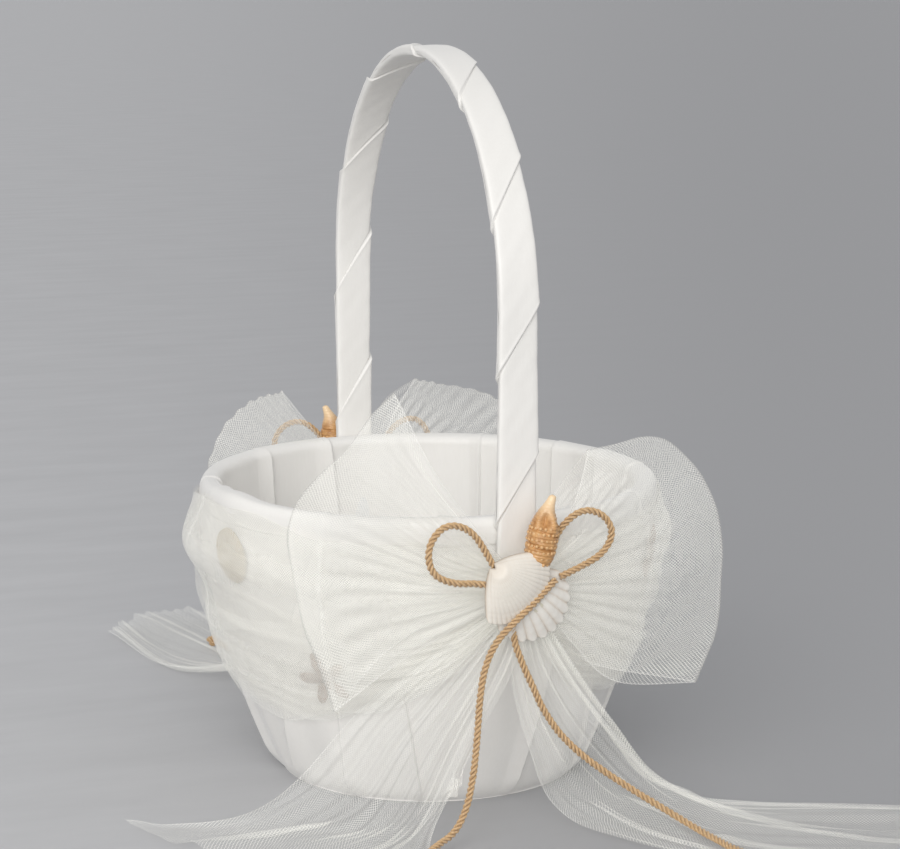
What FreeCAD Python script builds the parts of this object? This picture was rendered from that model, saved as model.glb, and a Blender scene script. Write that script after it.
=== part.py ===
import FreeCAD, Part
import math
import os
import Sketcher
from FreeCAD import Placement, Rotation, Vector

# Flower girl basket, in millimetres. The origin is the centre of the base's underside, +Z is up,
# the handle's plane is YZ, the front bow faces -Y and the back bow +Y.
# The bowl's wall is one long arc turned about Z. Its layers are measured as gaps, inwards and
# square to that arc, from the outer face of the satin cover.

CELLS = (
    ("curve_radius", 339.5, "radius of the wall's side curve"),
    ("curve_inset", 239.0, "the side curve's centre, beyond the axis"),
    ("curve_height", 146.9, "the side curve's centre, above the base"),
    ("cover_thickness", 0.6, "outer satin with its backing"),
    ("cover_top", 118.0, "where the outer satin is tucked under the lining"),
    ("hoop_gap", 1.2, "outer hoop's outer face"),
    ("hoop_thickness", 1.6, "bent wooden hoops"),
    ("hoop_low", 108.0, "lower edge of both rim hoops"),
    ("hoop_high", 119.5, "upper edge of both rim hoops and of the staves"),
    ("band_low", 58.0, "lower edge of the middle band"),
    ("band_high", 68.0, "upper edge of the middle band"),
    ("stave_thickness", 1.6, "split wooden uprights"),
    ("stave_count", 16.0, "uprights round the bowl"),
    ("stave_angle", 20.5, "degrees that one upright covers"),
    ("lining_gap", 8.4, "hidden face of the satin lining"),
    ("lining_thickness", 0.8, "padded satin lining"),
    ("lining_low", 6.0, "lower edge of the lining, beside the bottom pad"),
    ("roll_radius", 4.6, "outside of the soft rolled rim"),
    ("roll_height", 124.4, "centre of the rolled rim"),
    ("padding_low", 12.0, "lower edge of the wall's wadding"),
    ("padding_high", 106.0, "upper edge of the wall's wadding"),
    ("cover_disc_radius", 65.5, "satin covered card under the base"),
    ("cover_disc_thickness", 1.2, "satin covered card under the base"),
    ("board_radius", 62.4, "wooden base board"),
    ("board_thickness", 4.0, "wooden base board"),
    ("pad_radius", 58.8, "satin pad in the bottom of the bowl"),
    ("pad_thickness", 4.8, "satin pad in the bottom of the bowl"),
    ("pad_rounding", 2.0, "edge of the bottom's satin pad"),
    ("layer_clearance", 0.1, "between the wadding and what lies against it"),
    ("strip_width", 14.4, "bentwood handle, across"),
    ("strip_thickness", 2.4, "bentwood handle, through"),
    ("ribbon_thickness", 0.6, "satin ribbon wound round the handle"),
    ("ribbon_overhang", 0.8, "ribbon beyond each edge of the strip"),
    ("leg_offset", 2.7, "middle of the strip, outside the wall"),
    ("leg_low", 80.0, "lower end of each leg"),
    ("leg_bend", 126.0, "where each leg turns from the wall's slope to upright"),
    ("leg_spread", 104.8, "half the span of the handle at its widest"),
    ("handle_top", 312.2, "middle of the strip at the top"),
    ("handle_curve", 103.0, "bend radius of the handle's top"),
    ("leg_curve", 150.0, "bend radius where the legs meet the rim"),
    ("tack_radius", 0.6, "shank of a tack"),
    ("tack_head", 2.0, "radius of a tack's head"),
    ("tack_head_thickness", 0.42, "a tack's flat head"),
    ("tack_length", 9.6, "shank of a tack"),
    ("tack_low", 111.5, "lower tack of each leg"),
    ("tack_step", 5.0, "between the two tacks of a leg"),
    ("wrap_thickness", 0.8, "gathered tulle band"),
    ("wrap_low", 36.0, "lower edge of the tulle band"),
    ("wrap_high", 119.0, "upper edge of the tulle band"),
    ("wrap_low_radius", 83.2, "tulle band at its lower edge"),
    ("wrap_middle_radius", 99.4, "tulle band half way up"),
    ("wrap_high_radius", 102.4, "tulle band at its upper edge"),
    ("wrap_notch", 19.0, "gap in the tulle band where it is gathered at each leg"),
    ("notch_drop", 2.0, "the gap's lower end, below the end of the leg"),
    ("dollar_radius", 12.0, "sand dollar"),
    ("dollar_thickness", 2.2, "sand dollar"),
    ("dollar_rounding", 1.2, "edge of a sand dollar"),
    ("star_radius", 12.5, "starfish, to the tips"),
    ("star_waist", 4.8, "starfish, between the arms"),
    ("star_thickness", 2.0, "starfish"),
    ("wall_clearance", 0.3, "between the wall and what the tulle band holds"),
    ("cord_radius", 1.5, "twisted jute cord"),
    ("knot_radius", 3.2, "knot at the end of a cord"),
    ("upper_length", 24.5, "upper scallop, from beak to margin"),
    ("upper_margin", 0.8, "radius of its margin, as a share of its length"),
    ("upper_depth", 6.0, "height of its dome"),
    ("lower_length", 31.0, "lower scallop, from beak to margin"),
    ("lower_margin", 0.56, "radius of its margin, as a share of its length"),
    ("lower_depth", 4.5, "height of its dome"),
    ("scallop_thickness", 1.4, "scallop shell's wall"),
    ("spiral_length", 32.0, "spiral shell"),
    ("spiral_radius", 6.4, "spiral shell at its widest"),
    ("glue_radius", 4.0, "blob of glue behind the shells"),
    ("glue_height", 8.0, "blob of glue behind the shells"),
    ("panel_thickness", 3.0, "gathered tulle of a hanging tail"),
    ("tail_low", 0.4, "underside of the tulle that lies on the floor"),
    ("tail_thickness", 1.6, "tulle that lies on the floor"),
)

# Each bow is made as the front one and turned about Z to its own side.
BOW_TURNS = {"front": 0.0, "back": 180.0}

# Tulle loops: sections square to X, each (x, (lowest z, highest z), (front y, back y)).
BOW_LOOPS = {
    "front": {
        "left": ((-9, (97, 111), (-113, -105)), (-62, (76, 171), (-115, -92)), (-96, (100, 140), (-116, -84))),
        "right": ((9, (97, 111), (-113, -105)), (45, (62, 161), (-114, -97)), (87, (60, 130), (-116, -84))),
    },
    "back": {
        "left": ((-9, (97, 111), (-113, -105)), (-58, (76, 152), (-115, -92)), (-90, (92, 134), (-116, -84))),
        "right": ((9, (97, 111), (-113, -105)), (45, (62, 152), (-114, -97)), (80, (70, 120), (-116, -84))),
    },
}

# Tulle tails: the two sides of the hanging panel, from the knot to the floor, and the outline of
# the part that lies on the floor.
BOW_TAILS = {
    "front": {
        "left": {
            "one_side": ((-5, -109, 95), (-62, -86, 50), (-82, -72, 2)),
            "other_side": ((3, -110, 95), (-20, -112, 50), (-44, -118, 2)),
            "floor": ((-44, -118), (-40, -132), (-62, -166), (-113, -92), (-152, -54), (-114, -53), (-82, -70)),
        },
        "right": {
            "one_side": ((-3, -110, 95), (-2, -113, 52), (24, -120, 2)),
            "other_side": ((5, -109, 95), (32, -112, 50), (80, -114, 2)),
            "floor": ((24, -118), (80, -112), (118, -136), (178, -162), (150, -196), (92, -222), (40, -146)),
        },
    },
    "back": {
        "left": {
            "one_side": ((-5, -109, 95), (-34, -106, 50), (-52, -118, 2)),
            "other_side": ((3, -110, 95), (-6, -113, 50), (-12, -126, 2)),
            "floor": ((-12, -125), (-52, -117), (-104, -160), (-98, -204), (-44, -214), (-18, -168)),
        },
        "right": {
            "one_side": ((-3, -110, 95), (0, -113, 52), (6, -126, 2)),
            "other_side": ((5, -109, 95), (30, -110, 50), (44, -122, 2)),
            "floor": ((6, -125), (44, -121), (80, -168), (90, -224), (86, -258), (50, -290), (12, -262), (2, -190)),
        },
    },
}

# Jute cord of each bow: the corners of its route.
CORD_LOOPS = {
    "left": (
        (-13, -116.6, 109.5), (-18.5, -117.3, 119.5), (-25.5, -117.9, 129.5), (-36, -118.4, 132.5),
        (-43.6, -118.6, 124.5), (-42.6, -118.6, 113), (-33, -118.2, 107.8), (-21, -117.6, 107.2),
        (-13, -116.6, 104.4),
    ),
    "right": (
        (5, -116.6, 107.5), (8.5, -117.2, 117), (12.5, -117.8, 127), (21.5, -118.4, 134.2),
        (31, -118.6, 131.8), (36, -118.6, 124), (32, -118.4, 115.4), (22, -118.2, 110.4),
        (12.5, -119.4, 107.4),
    ),
}
CORD_TAILS = {
    "front": {
        "left": (
            (10, -120.4, 106.6), (-0.5, -123, 98.4), (-8, -122.8, 92), (-14.5, -120, 84.5),
            (-19.3, -118.8, 74.5), (-21.6, -118.8, 62), (-22.6, -119, 48), (-24, -119.4, 33),
            (-27, -120.4, 18), (-33, -122.6, 7.5), (-43, -127, 4.4), (-51, -135.5, 4),
            (-55, -146.5, 4.2),
        ),
        "right": (
            (-6.6, -115.8, 92), (-6.8, -116.8, 83), (-3.4, -118.2, 73), (1, -118.9, 63),
            (5.6, -119.4, 52.5), (13.4, -120.4, 41), (23.8, -122.8, 31), (35.5, -127.4, 22.3),
            (46, -133.4, 15.2), (54.6, -140.8, 9.8), (60.6, -149.6, 6), (64.6, -160.4, 4.3),
            (66.4, -172, 4.1), (71, -182.6, 4.2),
        ),
    },
    "back": {
        "left": (
            (10, -120.4, 106.6), (-0.5, -123, 98.4), (-8, -122.8, 92), (-14, -120, 84),
            (-17.6, -118.8, 74), (-19, -119, 61), (-20.4, -119.6, 47), (-23.4, -121, 32.5),
            (-28, -124, 18.5), (-34, -129.6, 8), (-42, -138, 4.4), (-48, -149, 4),
            (-50, -161, 4.2),
        ),
        "right": (
            (-6.6, -115.8, 92), (-6.8, -116.8, 83), (-3.6, -118.2, 73), (0.4, -119.2, 62),
            (4.6, -119.8, 50), (9.4, -121, 38), (15, -124.4, 26), (21.4, -131, 14.6),
            (28, -141, 6.6), (34, -153.6, 4.4), (38, -168, 4.1), (39, -183, 4), (37.6, -197, 4.1),
            (41, -209.4, 4.2),
        ),
    },
}

# Pieces held under the tulle band: (node, direction round the bowl, height, turn of the piece).
DOLLARS = (("sand_dollar_front", -167.0, 104.0, 12.0), ("sand_dollar_back", 13.0, 104.0, 12.0))
STARS = (
    ("starfish_low_front", -139.0, 57.0, 20.0),
    ("starfish_low_back", 41.0, 57.0, 20.0),
    ("starfish_high_front", -33.0, 98.0, 50.0),
    ("starfish_high_back", 147.0, 98.0, 50.0),
)

# The knots of a bow, as rounded lumps: (centre, half sizes along X, Y and Z).
TULLE_KNOT = ((0, -108.6, 103), (11, 5, 9))
CORD_KNOT = ((-3, -116.2, 102), (9, 2.8, 7))

# The scallops of a bow: (half angle of the fan, beak, lean from +X towards +Z, rise of the margin
# from the bow).
SCALLOPS = {
    "upper": (54.0, (-16.2, -118.0, 113.6), -42.0, 3.0),
    "lower": (48.0, (-8.5, -113.5, 110.0), -52.0, 4.0),
}
SPIRAL_BASE = (2.8, -117.4, 109.0)
SPIRAL_LEAN = 10.0
# Half outline of the spiral shell, as shares of its radius and its length.
SPIRAL_OUTLINE = ((0, 0), (0.3, 0), (0.72, 0.22), (1.0, 0.46), (0.62, 0.72), (0.26, 1.0), (0, 1.0))
GLUE_BASE = (1, -112.4, 98)

CORD_ARC_SHARE = 0.45
KNOT_SINK = 0.8
STAR_ARMS = 5

document = FreeCAD.newDocument("FlowerGirlBasket")
sheet = document.addObject("Spreadsheet::Sheet", "Sizes")
nodes = []


def fill_sheet():
    for row, (alias, value, note) in enumerate(CELLS, start=1):
        sheet.set(f"A{row}", alias)
        sheet.set(f"B{row}", str(value))
        sheet.setAlias(f"B{row}", alias)
        sheet.set(f"C{row}", note)
    document.recompute()


def size(expression):
    """The value of an alias, or of a formula of aliases written as Sizes.alias."""
    if expression.isidentifier():
        expression = "Sizes." + expression
    return float(sheet.evalExpression(expression))


def wall_radius(height, gap=0.0):
    """Radius of the wall's side curve at a height, with a layer's gap taken off."""
    reach = size("curve_radius") - gap
    rise = height - size("curve_height")
    return math.sqrt(reach**2 - rise**2) - size("curve_inset")


def keep(made, node):
    """Names a finished sub-part, which is then checked and written."""
    made.Label = node
    nodes.append(made)
    return made


def turned(degrees):
    return Placement(Vector(), Rotation(Vector(0, 0, 1), degrees))


def feature(name, shape):
    made = document.addObject("Part::Feature", name + "_shape")
    made.Shape = shape
    return made


def cut(name, base, tool):
    made = document.addObject("Part::Cut", name + "_cut")
    made.Base = base
    made.Tool = tool
    return made


# PartDesign bodies


def new_body(name):
    return document.addObject("PartDesign::Body", name + "_body")


def plane_of(body, role):
    return next(plane for plane in body.Origin.OriginFeatures if plane.Role == role)


def new_sketch(body, role, name="sketch"):
    sketch = body.newObject("Sketcher::SketchObject", f"{body.Name}_{name}")
    sketch.AttachmentSupport = [(plane_of(body, role), "")]
    sketch.MapMode = "FlatFace"
    return sketch


def constrain(sketch, name, expression, *what):
    """Adds a dimension with a name and ties it to the sheet."""
    index = sketch.addConstraint(Sketcher.Constraint(*what, size(expression)))
    sketch.renameConstraint(index, name)
    sketch.setExpression("Constraints." + name, expression)


def polygon_in(sketch, points):
    corners = [Vector(x, y, 0) for x, y in points]
    first = sketch.GeometryCount
    for start, end in zip(corners, corners[1:] + corners[:1]):
        sketch.addGeometry(Part.LineSegment(start, end))
    last = sketch.GeometryCount - 1
    for index in range(first, last):
        sketch.addConstraint(Sketcher.Constraint("Coincident", index, 2, index + 1, 1))
    sketch.addConstraint(Sketcher.Constraint("Coincident", last, 2, first, 1))


def disc(name, radius, thickness, height="0", rounding=None):
    """A round plate: a padded circle, with its upper edge rounded if asked."""
    body = new_body(name)
    sketch = new_sketch(body, "XY_Plane")
    sketch.addGeometry(Part.Circle(Vector(), Vector(0, 0, 1), size(radius)))
    sketch.addConstraint(Sketcher.Constraint("Coincident", 0, 3, -1, 1))
    constrain(sketch, "radius", radius, "Radius", 0)
    pad = body.newObject("PartDesign::Pad", name + "_pad")
    pad.Profile = sketch
    pad.setExpression("Length", thickness)
    document.recompute()
    if rounding:
        top = max(range(len(pad.Shape.Edges)), key=lambda i: pad.Shape.Edges[i].CenterOfMass.z)
        fillet = body.newObject("PartDesign::Fillet", name + "_fillet")
        fillet.Base = (pad, [f"Edge{top + 1}"])
        fillet.Radius = rounding
    body.setExpression(".Placement.Base.z", height)
    return body


def wall_layer(name, outer, inner, low, high, sweep=360.0):
    """A layer of the wall between two gaps and two heights, turned about Z."""
    body = new_body(name)
    sketch = new_sketch(body, "XZ_Plane")
    centre = Vector(-size("curve_inset"), size("curve_height"), 0)
    radii = [f"Sizes.curve_radius - ({gap})" for gap in (outer, inner)]
    arcs = []
    for radius in map(size, radii):
        ends = [math.asin((size(level) - centre.y) / radius) for level in (low, high)]
        arcs.append(Part.ArcOfCircle(Part.Circle(centre, Vector(0, 0, 1), radius), *ends))
    sketch.addGeometry(arcs[0])
    sketch.addGeometry(Part.LineSegment(arcs[0].EndPoint, arcs[1].EndPoint))
    sketch.addGeometry(arcs[1])
    sketch.addGeometry(Part.LineSegment(arcs[1].StartPoint, arcs[0].StartPoint))
    for ends in ((0, 2, 1, 1), (1, 2, 2, 2), (2, 1, 3, 1), (3, 2, 0, 1), (0, 3, 2, 3)):
        sketch.addConstraint(Sketcher.Constraint("Coincident", *ends))
    sketch.addConstraint(Sketcher.Constraint("Horizontal", 1))
    sketch.addConstraint(Sketcher.Constraint("Horizontal", 3))
    constrain(sketch, "inset", "Sizes.curve_inset", "DistanceX", 0, 3, -1, 1)
    constrain(sketch, "centre_height", "Sizes.curve_height", "DistanceY", -1, 1, 0, 3)
    constrain(sketch, "outer_radius", radii[0], "Radius", 0)
    constrain(sketch, "inner_radius", radii[1], "Radius", 2)
    constrain(sketch, "low", low, "DistanceY", -1, 1, 0, 1)
    constrain(sketch, "high", high, "DistanceY", -1, 1, 0, 2)
    turn = body.newObject("PartDesign::Revolution", name + "_turn")
    turn.Profile = sketch
    turn.ReferenceAxis = (sketch, ["V_Axis"])
    turn.Angle = sweep
    turn.Midplane = sweep < 360.0
    return body


def turned_profile(name, geometry):
    """A body of revolution about Z from lines and arcs in the XZ plane."""
    body = new_body(name)
    sketch = new_sketch(body, "XZ_Plane")
    for piece in geometry:
        sketch.addGeometry(piece)
    turn = body.newObject("PartDesign::Revolution", name + "_turn")
    turn.Profile = sketch
    turn.ReferenceAxis = (sketch, ["V_Axis"])
    turn.Angle = 360.0
    return body


# The bowl


def base_pieces():
    keep(disc("base_cover", "Sizes.cover_disc_radius", "Sizes.cover_disc_thickness"), "base_cover_disc")
    board_height = "Sizes.cover_disc_thickness"
    keep(disc("board", "Sizes.board_radius", "Sizes.board_thickness", board_height), "base_board")
    pad_height = "Sizes.cover_disc_thickness + Sizes.board_thickness"
    pad = disc("pad", "Sizes.pad_radius", "Sizes.pad_thickness", pad_height, size("pad_rounding"))
    keep(pad, "bottom_pad")


def staves():
    """Separate uprights, with a gap between two of them under each leg of the handle."""
    outer = "Sizes.hoop_gap + Sizes.hoop_thickness"
    inner = outer + " + Sizes.stave_thickness"
    body = wall_layer(
        "stave", outer, inner, "Sizes.cover_disc_thickness", "Sizes.hoop_high", size("stave_angle")
    )
    body.AllowCompound = True
    document.recompute()
    pattern = body.newObject("PartDesign::PolarPattern", "stave_pattern")
    pattern.Originals = [body.Tip]
    pattern.Axis = (body.Tip.Profile[0], ["V_Axis"])
    pattern.Angle = 360.0
    pattern.setExpression("Occurrences", "Sizes.stave_count")
    body.Tip = pattern
    body.Placement = turned(180.0 / size("stave_count"))
    keep(body, "upright_staves")


def tack(leg, height):
    """A round-headed tack through a leg: its head lies on the strip's outer face."""
    outside = wall_radius(height) + size("leg_offset") + size("strip_thickness") / 2
    inward = Vector(0, -leg, 0)
    shank = Part.makeCylinder(
        size("tack_radius"), size("tack_length"), Vector(0, leg * outside, height), inward
    )
    head = Part.makeCylinder(
        size("tack_head"), size("tack_head_thickness"), Vector(0, leg * outside, height), -inward
    )
    return shank.fuse(head)


def tacks():
    heights = [size("tack_low") + step * size("tack_step") for step in range(2)]
    solids = [tack(leg, height) for leg in (-1, 1) for height in heights]
    return keep(feature("tacks", Part.makeCompound(solids)), "handle_tacks")


def hoops(tack_group):
    low, high = "Sizes.hoop_low", "Sizes.hoop_high"
    outer_end = "Sizes.hoop_gap + Sizes.hoop_thickness"
    outer = wall_layer("outer_hoop", "Sizes.hoop_gap", outer_end, low, high)
    keep(cut("outer_hoop", outer, tack_group), "outer_rim_hoop")
    inner_start = outer_end + " + Sizes.stave_thickness"
    inner_end = inner_start + " + Sizes.hoop_thickness"
    inner = wall_layer("inner_hoop", inner_start, inner_end, low, high)
    keep(cut("inner_hoop", inner, tack_group), "inner_rim_hoop")
    band = wall_layer("band", "Sizes.hoop_gap", outer_end, "Sizes.band_low", "Sizes.band_high")
    keep(band, "middle_band")


def satin_cover(tack_group):
    cover = wall_layer(
        "cover", "0", "Sizes.cover_thickness", "Sizes.cover_disc_thickness", "Sizes.cover_top"
    )
    keep(cut("cover", cover, tack_group), "satin_cover")


def lining():
    """The lining lies on the wall's wadding, rolls over the rim and ends outside it."""
    thickness = size("lining_thickness")
    roll_height = size("roll_height")
    radius = size("roll_radius")
    roll_centre = Vector(wall_radius(roll_height) - radius, roll_height, 0)
    low = size("lining_low")
    half = (low + roll_height) / 2
    shown_gap = size("Sizes.lining_gap + Sizes.lining_thickness")
    inner_top = Vector(roll_centre.x - radius, roll_height, 0)
    hidden_top = inner_top + Vector(thickness, 0, 0)
    skirt_low = size("cover_top")

    def side(gap, top):
        return Part.Arc(
            Vector(wall_radius(low, gap), low, 0), Vector(wall_radius(half, gap), half, 0), top
        )

    def roll(reach):
        ends = (Vector(-reach, 0, 0), Vector(0, reach, 0), Vector(reach, 0, 0))
        return Part.Arc(*[roll_centre + end for end in ends])

    outside = Vector(wall_radius(skirt_low), skirt_low, 0)
    skirt_inside = outside - Vector(thickness, 0, 0)
    over = roll_centre + Vector(radius, 0, 0)
    under = over - Vector(thickness, 0, 0)
    shown, hidden = side(shown_gap, inner_top), side(size("lining_gap"), hidden_top)
    geometry = [
        shown,
        roll(radius),
        Part.LineSegment(over, outside),
        Part.LineSegment(outside, skirt_inside),
        Part.LineSegment(skirt_inside, under),
        roll(radius - thickness),
        hidden,
        Part.LineSegment(hidden.StartPoint, shown.StartPoint),
    ]
    keep(turned_profile("lining", geometry), "satin_lining")

    ring = document.addObject("Part::Torus", "rim_padding_ring")
    ring.Radius1 = roll_centre.x
    ring.setExpression("Radius2", "Sizes.roll_radius - Sizes.lining_thickness - Sizes.layer_clearance")
    ring.setExpression(".Placement.Base.z", "Sizes.roll_height")
    keep(ring, "rim_padding")


def wall_padding():
    outer = "Sizes.hoop_gap + Sizes.hoop_thickness + Sizes.stave_thickness + Sizes.layer_clearance"
    inner = "Sizes.lining_gap - Sizes.layer_clearance"
    keep(wall_layer("wadding", outer, inner, "Sizes.padding_low", "Sizes.padding_high"), "wall_padding")


# The handle


def rounded_edges(corners, radii):
    """Straight runs joined by tangent arcs, one radius for each inner corner."""
    edges = []
    at = corners[0]
    for before, corner, after, radius in zip(corners, corners[1:], corners[2:], radii):
        back = (before - corner).normalize()
        ahead = (after - corner).normalize()
        half_turn = (math.pi - back.getAngle(ahead)) / 2
        reach = radius * math.tan(half_turn)
        to_middle = (back + ahead).normalize()
        middle = corner + to_middle * (radius / math.cos(half_turn) - radius)
        start, end = corner + back * reach, corner + ahead * reach
        edges.append(Part.LineSegment(at, start).toShape())
        edges.append(Part.Arc(start, middle, end).toShape())
        at = end
    edges.append(Part.LineSegment(at, corners[-1]).toShape())
    return edges


def handle_corners():
    """One leg's foot, its bend at the rim and its top corner, then the other leg's."""
    foot = Vector(0, wall_radius(size("leg_low")) + size("leg_offset"), size("leg_low"))
    slope_top = wall_radius(size("cover_top")) + size("leg_offset")
    slope = (slope_top - foot.y) / (size("cover_top") - foot.z)
    bend_height = size("leg_bend")
    bend = Vector(0, foot.y + slope * (bend_height - foot.z), bend_height)
    top = Vector(0, size("leg_spread"), size("handle_top"))
    leg = (foot, bend, top)
    return [Vector(0, -p.y, p.z) for p in leg] + [Vector(p) for p in reversed(leg)]


def beside(corners, shift):
    """The corners of a line that runs beside the handle's curve, shifted outwards."""
    outward = []
    for start, end in zip(corners, corners[1:]):
        along = (end - start).normalize()
        outward.append(Vector(0, -along.z, along.y))
    shifts = [outward[0]]
    for before, after in zip(outward, outward[1:]):
        shifts.append((before + after) / (1 + before.dot(after)))
    shifts.append(outward[-1])
    return [corner + direction * shift for corner, direction in zip(corners, shifts)]


def handle_bar(name, thickness, width):
    """The handle's curve, thickened in its own plane and then across."""
    edges = []
    ends = []
    for shift in (size(thickness) / 2, -size(thickness) / 2):
        corners = beside(handle_corners(), shift)
        curves = ("leg_curve", "handle_curve", "handle_curve", "leg_curve")
        edges += rounded_edges(corners, [size(curve) + shift for curve in curves])
        ends.append((corners[0], corners[-1]))
    edges += [Part.makeLine(outer, inner) for outer, inner in zip(*ends)]
    outline = Part.Face(Part.Wire(Part.sortEdges(edges)[0]))
    bar = document.addObject("Part::Extrusion", name + "_bar")
    bar.Base = feature(name + "_outline", outline)
    bar.DirMode = "Custom"
    bar.Dir = Vector(1, 0, 0)
    bar.Symmetric = True
    bar.Solid = True
    bar.setExpression("LengthFwd", width)
    return bar


def handle(tack_group):
    strip = handle_bar("strip", "Sizes.strip_thickness", "Sizes.strip_width")
    keep(cut("strip", strip, tack_group), "handle_strip")
    ribbon = handle_bar(
        "ribbon",
        "Sizes.strip_thickness + 2 * Sizes.ribbon_thickness",
        "Sizes.strip_width + 2 * Sizes.ribbon_overhang",
    )
    hollow = cut("ribbon_hollow", ribbon, strip)
    keep(cut("ribbon", hollow, tack_group), "handle_ribbon_wrap")


# The tulle band and what it holds


def tulle_wrap():
    low, high = size("wrap_low"), size("wrap_high")
    half = (low + high) / 2
    radii = [size(f"wrap_{level}_radius") for level in ("low", "middle", "high")]
    thickness = size("wrap_thickness")
    outer = [Vector(radius, level, 0) for radius, level in zip(radii, (low, half, high))]
    inner = [point - Vector(thickness, 0, 0) for point in outer]
    geometry = [
        Part.Arc(*outer),
        Part.LineSegment(outer[2], inner[2]),
        Part.Arc(*inner),
        Part.LineSegment(inner[0], outer[0]),
    ]
    band = turned_profile("wrap", geometry)
    notch = document.addObject("Part::Box", "wrap_notch_box")
    notch.setExpression("Length", "Sizes.wrap_notch")
    notch.Width = 3 * radii[2]
    notch.Height = high
    notch.setExpression(".Placement.Base.x", "-Sizes.wrap_notch / 2")
    notch.Placement.Base.y = -1.5 * radii[2]
    notch.setExpression(".Placement.Base.z", "Sizes.leg_low - Sizes.notch_drop")
    keep(cut("wrap", band, notch), "tulle_wrap")


def on_wall(direction, height, lift, spin):
    """A place on the wall: local Z points outwards and local Y up the wall."""
    angle = math.radians(direction)
    rise = height - size("curve_height")
    run = math.sqrt(size("curve_radius") ** 2 - rise**2)
    outward = Vector(run * math.cos(angle), run * math.sin(angle), rise).normalize()
    across = Vector(-math.sin(angle), math.cos(angle), 0)
    radius = wall_radius(height)
    place = Vector(radius * math.cos(angle), radius * math.sin(angle), height) + outward * lift
    turn = Rotation(across, outward.cross(across), outward, "ZXY")
    return Placement(place, turn.multiply(Rotation(Vector(0, 0, 1), spin)))


def sand_dollars():
    for node, direction, height, spin in DOLLARS:
        body = disc(
            node, "Sizes.dollar_radius", "Sizes.dollar_thickness", rounding=size("dollar_rounding")
        )
        body.setExpression(".Placement.Base.z", None)
        body.Placement = on_wall(direction, height, size("wall_clearance"), spin)
        keep(body, node)


def star_outline():
    points = []
    for step in range(2 * STAR_ARMS):
        angle = math.pi * step / STAR_ARMS + math.pi / 2
        reach = size("star_waist") if step % 2 else size("star_radius")
        points.append((reach * math.cos(angle), reach * math.sin(angle)))
    return points


def starfish():
    for node, direction, height, spin in STARS:
        body = new_body(node)
        sketch = new_sketch(body, "XY_Plane")
        polygon_in(sketch, star_outline())
        pad = body.newObject("PartDesign::Pad", node + "_pad")
        pad.Profile = sketch
        pad.setExpression("Length", "Sizes.star_thickness")
        body.Placement = on_wall(direction, height, size("wall_clearance"), spin)
        keep(body, node)


# The bows


def section_wire(points):
    return Part.makePolygon([Vector(*point) for point in points] + [Vector(*points[0])])


def bow_loop(side, hand, sections):
    wires = []
    for x, (low, high), (front, back) in sections:
        wires.append(section_wire([(x, front, low), (x, back, low), (x, back, high), (x, front, high)]))
    made = feature(f"{side}_bow_{hand}", Part.makeLoft(wires, True, True))
    made.Placement = turned(BOW_TURNS[side])
    keep(made, f"{side}_bow_loop_{hand}")


def bow_tail(side, hand, shape):
    """A panel that hangs from the knot and widens to the floor, and the tulle lying there."""
    depth = Vector(0, size("panel_thickness") / 2, 0)
    wires = []
    for one, other in zip(shape["one_side"], shape["other_side"]):
        one, other = Vector(*one), Vector(*other)
        wires.append(section_wire([one - depth, other - depth, other + depth, one + depth]))
    hanging = Part.makeLoft(wires, True, True)
    outline = section_wire([(x, y, size("tail_low")) for x, y in shape["floor"]])
    lying = Part.Face(outline).extrude(Vector(0, 0, size("tail_thickness")))
    made = feature(f"{side}_tail_{hand}", hanging.fuse(lying).removeSplitter())
    made.Placement = turned(BOW_TURNS[side])
    keep(made, f"{side}_bow_tail_{hand}")


def ellipsoid(node, centre, radii, side):
    """A rounded lump. Its radii are along X, Y and Z."""
    made = document.addObject("Part::Ellipsoid", node + "_lump")
    made.Radius2, made.Radius3, made.Radius1 = radii
    made.Angle1, made.Angle2, made.Angle3 = -90, 90, 360
    made.Placement = turned(BOW_TURNS[side]).multiply(Placement(Vector(*centre), Rotation()))
    keep(made, node)


def cord_tube(node, corners, side):
    """A tube of straight runs joined by arcs as large as the runs allow."""
    corners = [Vector(*corner) for corner in corners]
    runs = [(after - before).Length for before, after in zip(corners, corners[1:])]
    radii = []
    for index in range(1, len(corners) - 1):
        back = corners[index - 1] - corners[index]
        ahead = corners[index + 1] - corners[index]
        half_turn = (math.pi - back.getAngle(ahead)) / 2
        radii.append(CORD_ARC_SHARE * min(runs[index - 1], runs[index]) / math.tan(half_turn))
    path = Part.Wire(rounded_edges(corners, radii))
    radius = size("cord_radius")
    profile = Part.Wire(Part.makeCircle(radius, corners[0], corners[1] - corners[0]))
    tube = path.makePipeShell([profile], True, False)
    expected = math.pi * radius**2 * path.Length
    print(
        f"{node}: length {path.Length:.1f}, volume {tube.Volume / expected:.4f} of its section times"
        f" length, smallest arc {min(radii):.1f}, radii {[round(r) for r in radii]}"
    )
    made = feature(node, tube)
    made.Placement = turned(BOW_TURNS[side])
    keep(made, node)


def cords(side):
    for hand, corners in CORD_LOOPS.items():
        cord_tube(f"{side}_cord_loop_{hand}", corners, side)
    for hand, corners in CORD_TAILS[side].items():
        cord_tube(f"{side}_cord_tail_{hand}", corners, side)
        last, before = Vector(*corners[-1]), Vector(*corners[-2])
        centre = last + (last - before).normalize() * (size("knot_radius") * KNOT_SINK)
        ellipsoid(f"{side}_cord_end_{hand}", centre, [size("knot_radius")] * 3, side)
    ellipsoid(f"{side}_cord_knot", *CORD_KNOT, side)


# The shells


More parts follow.
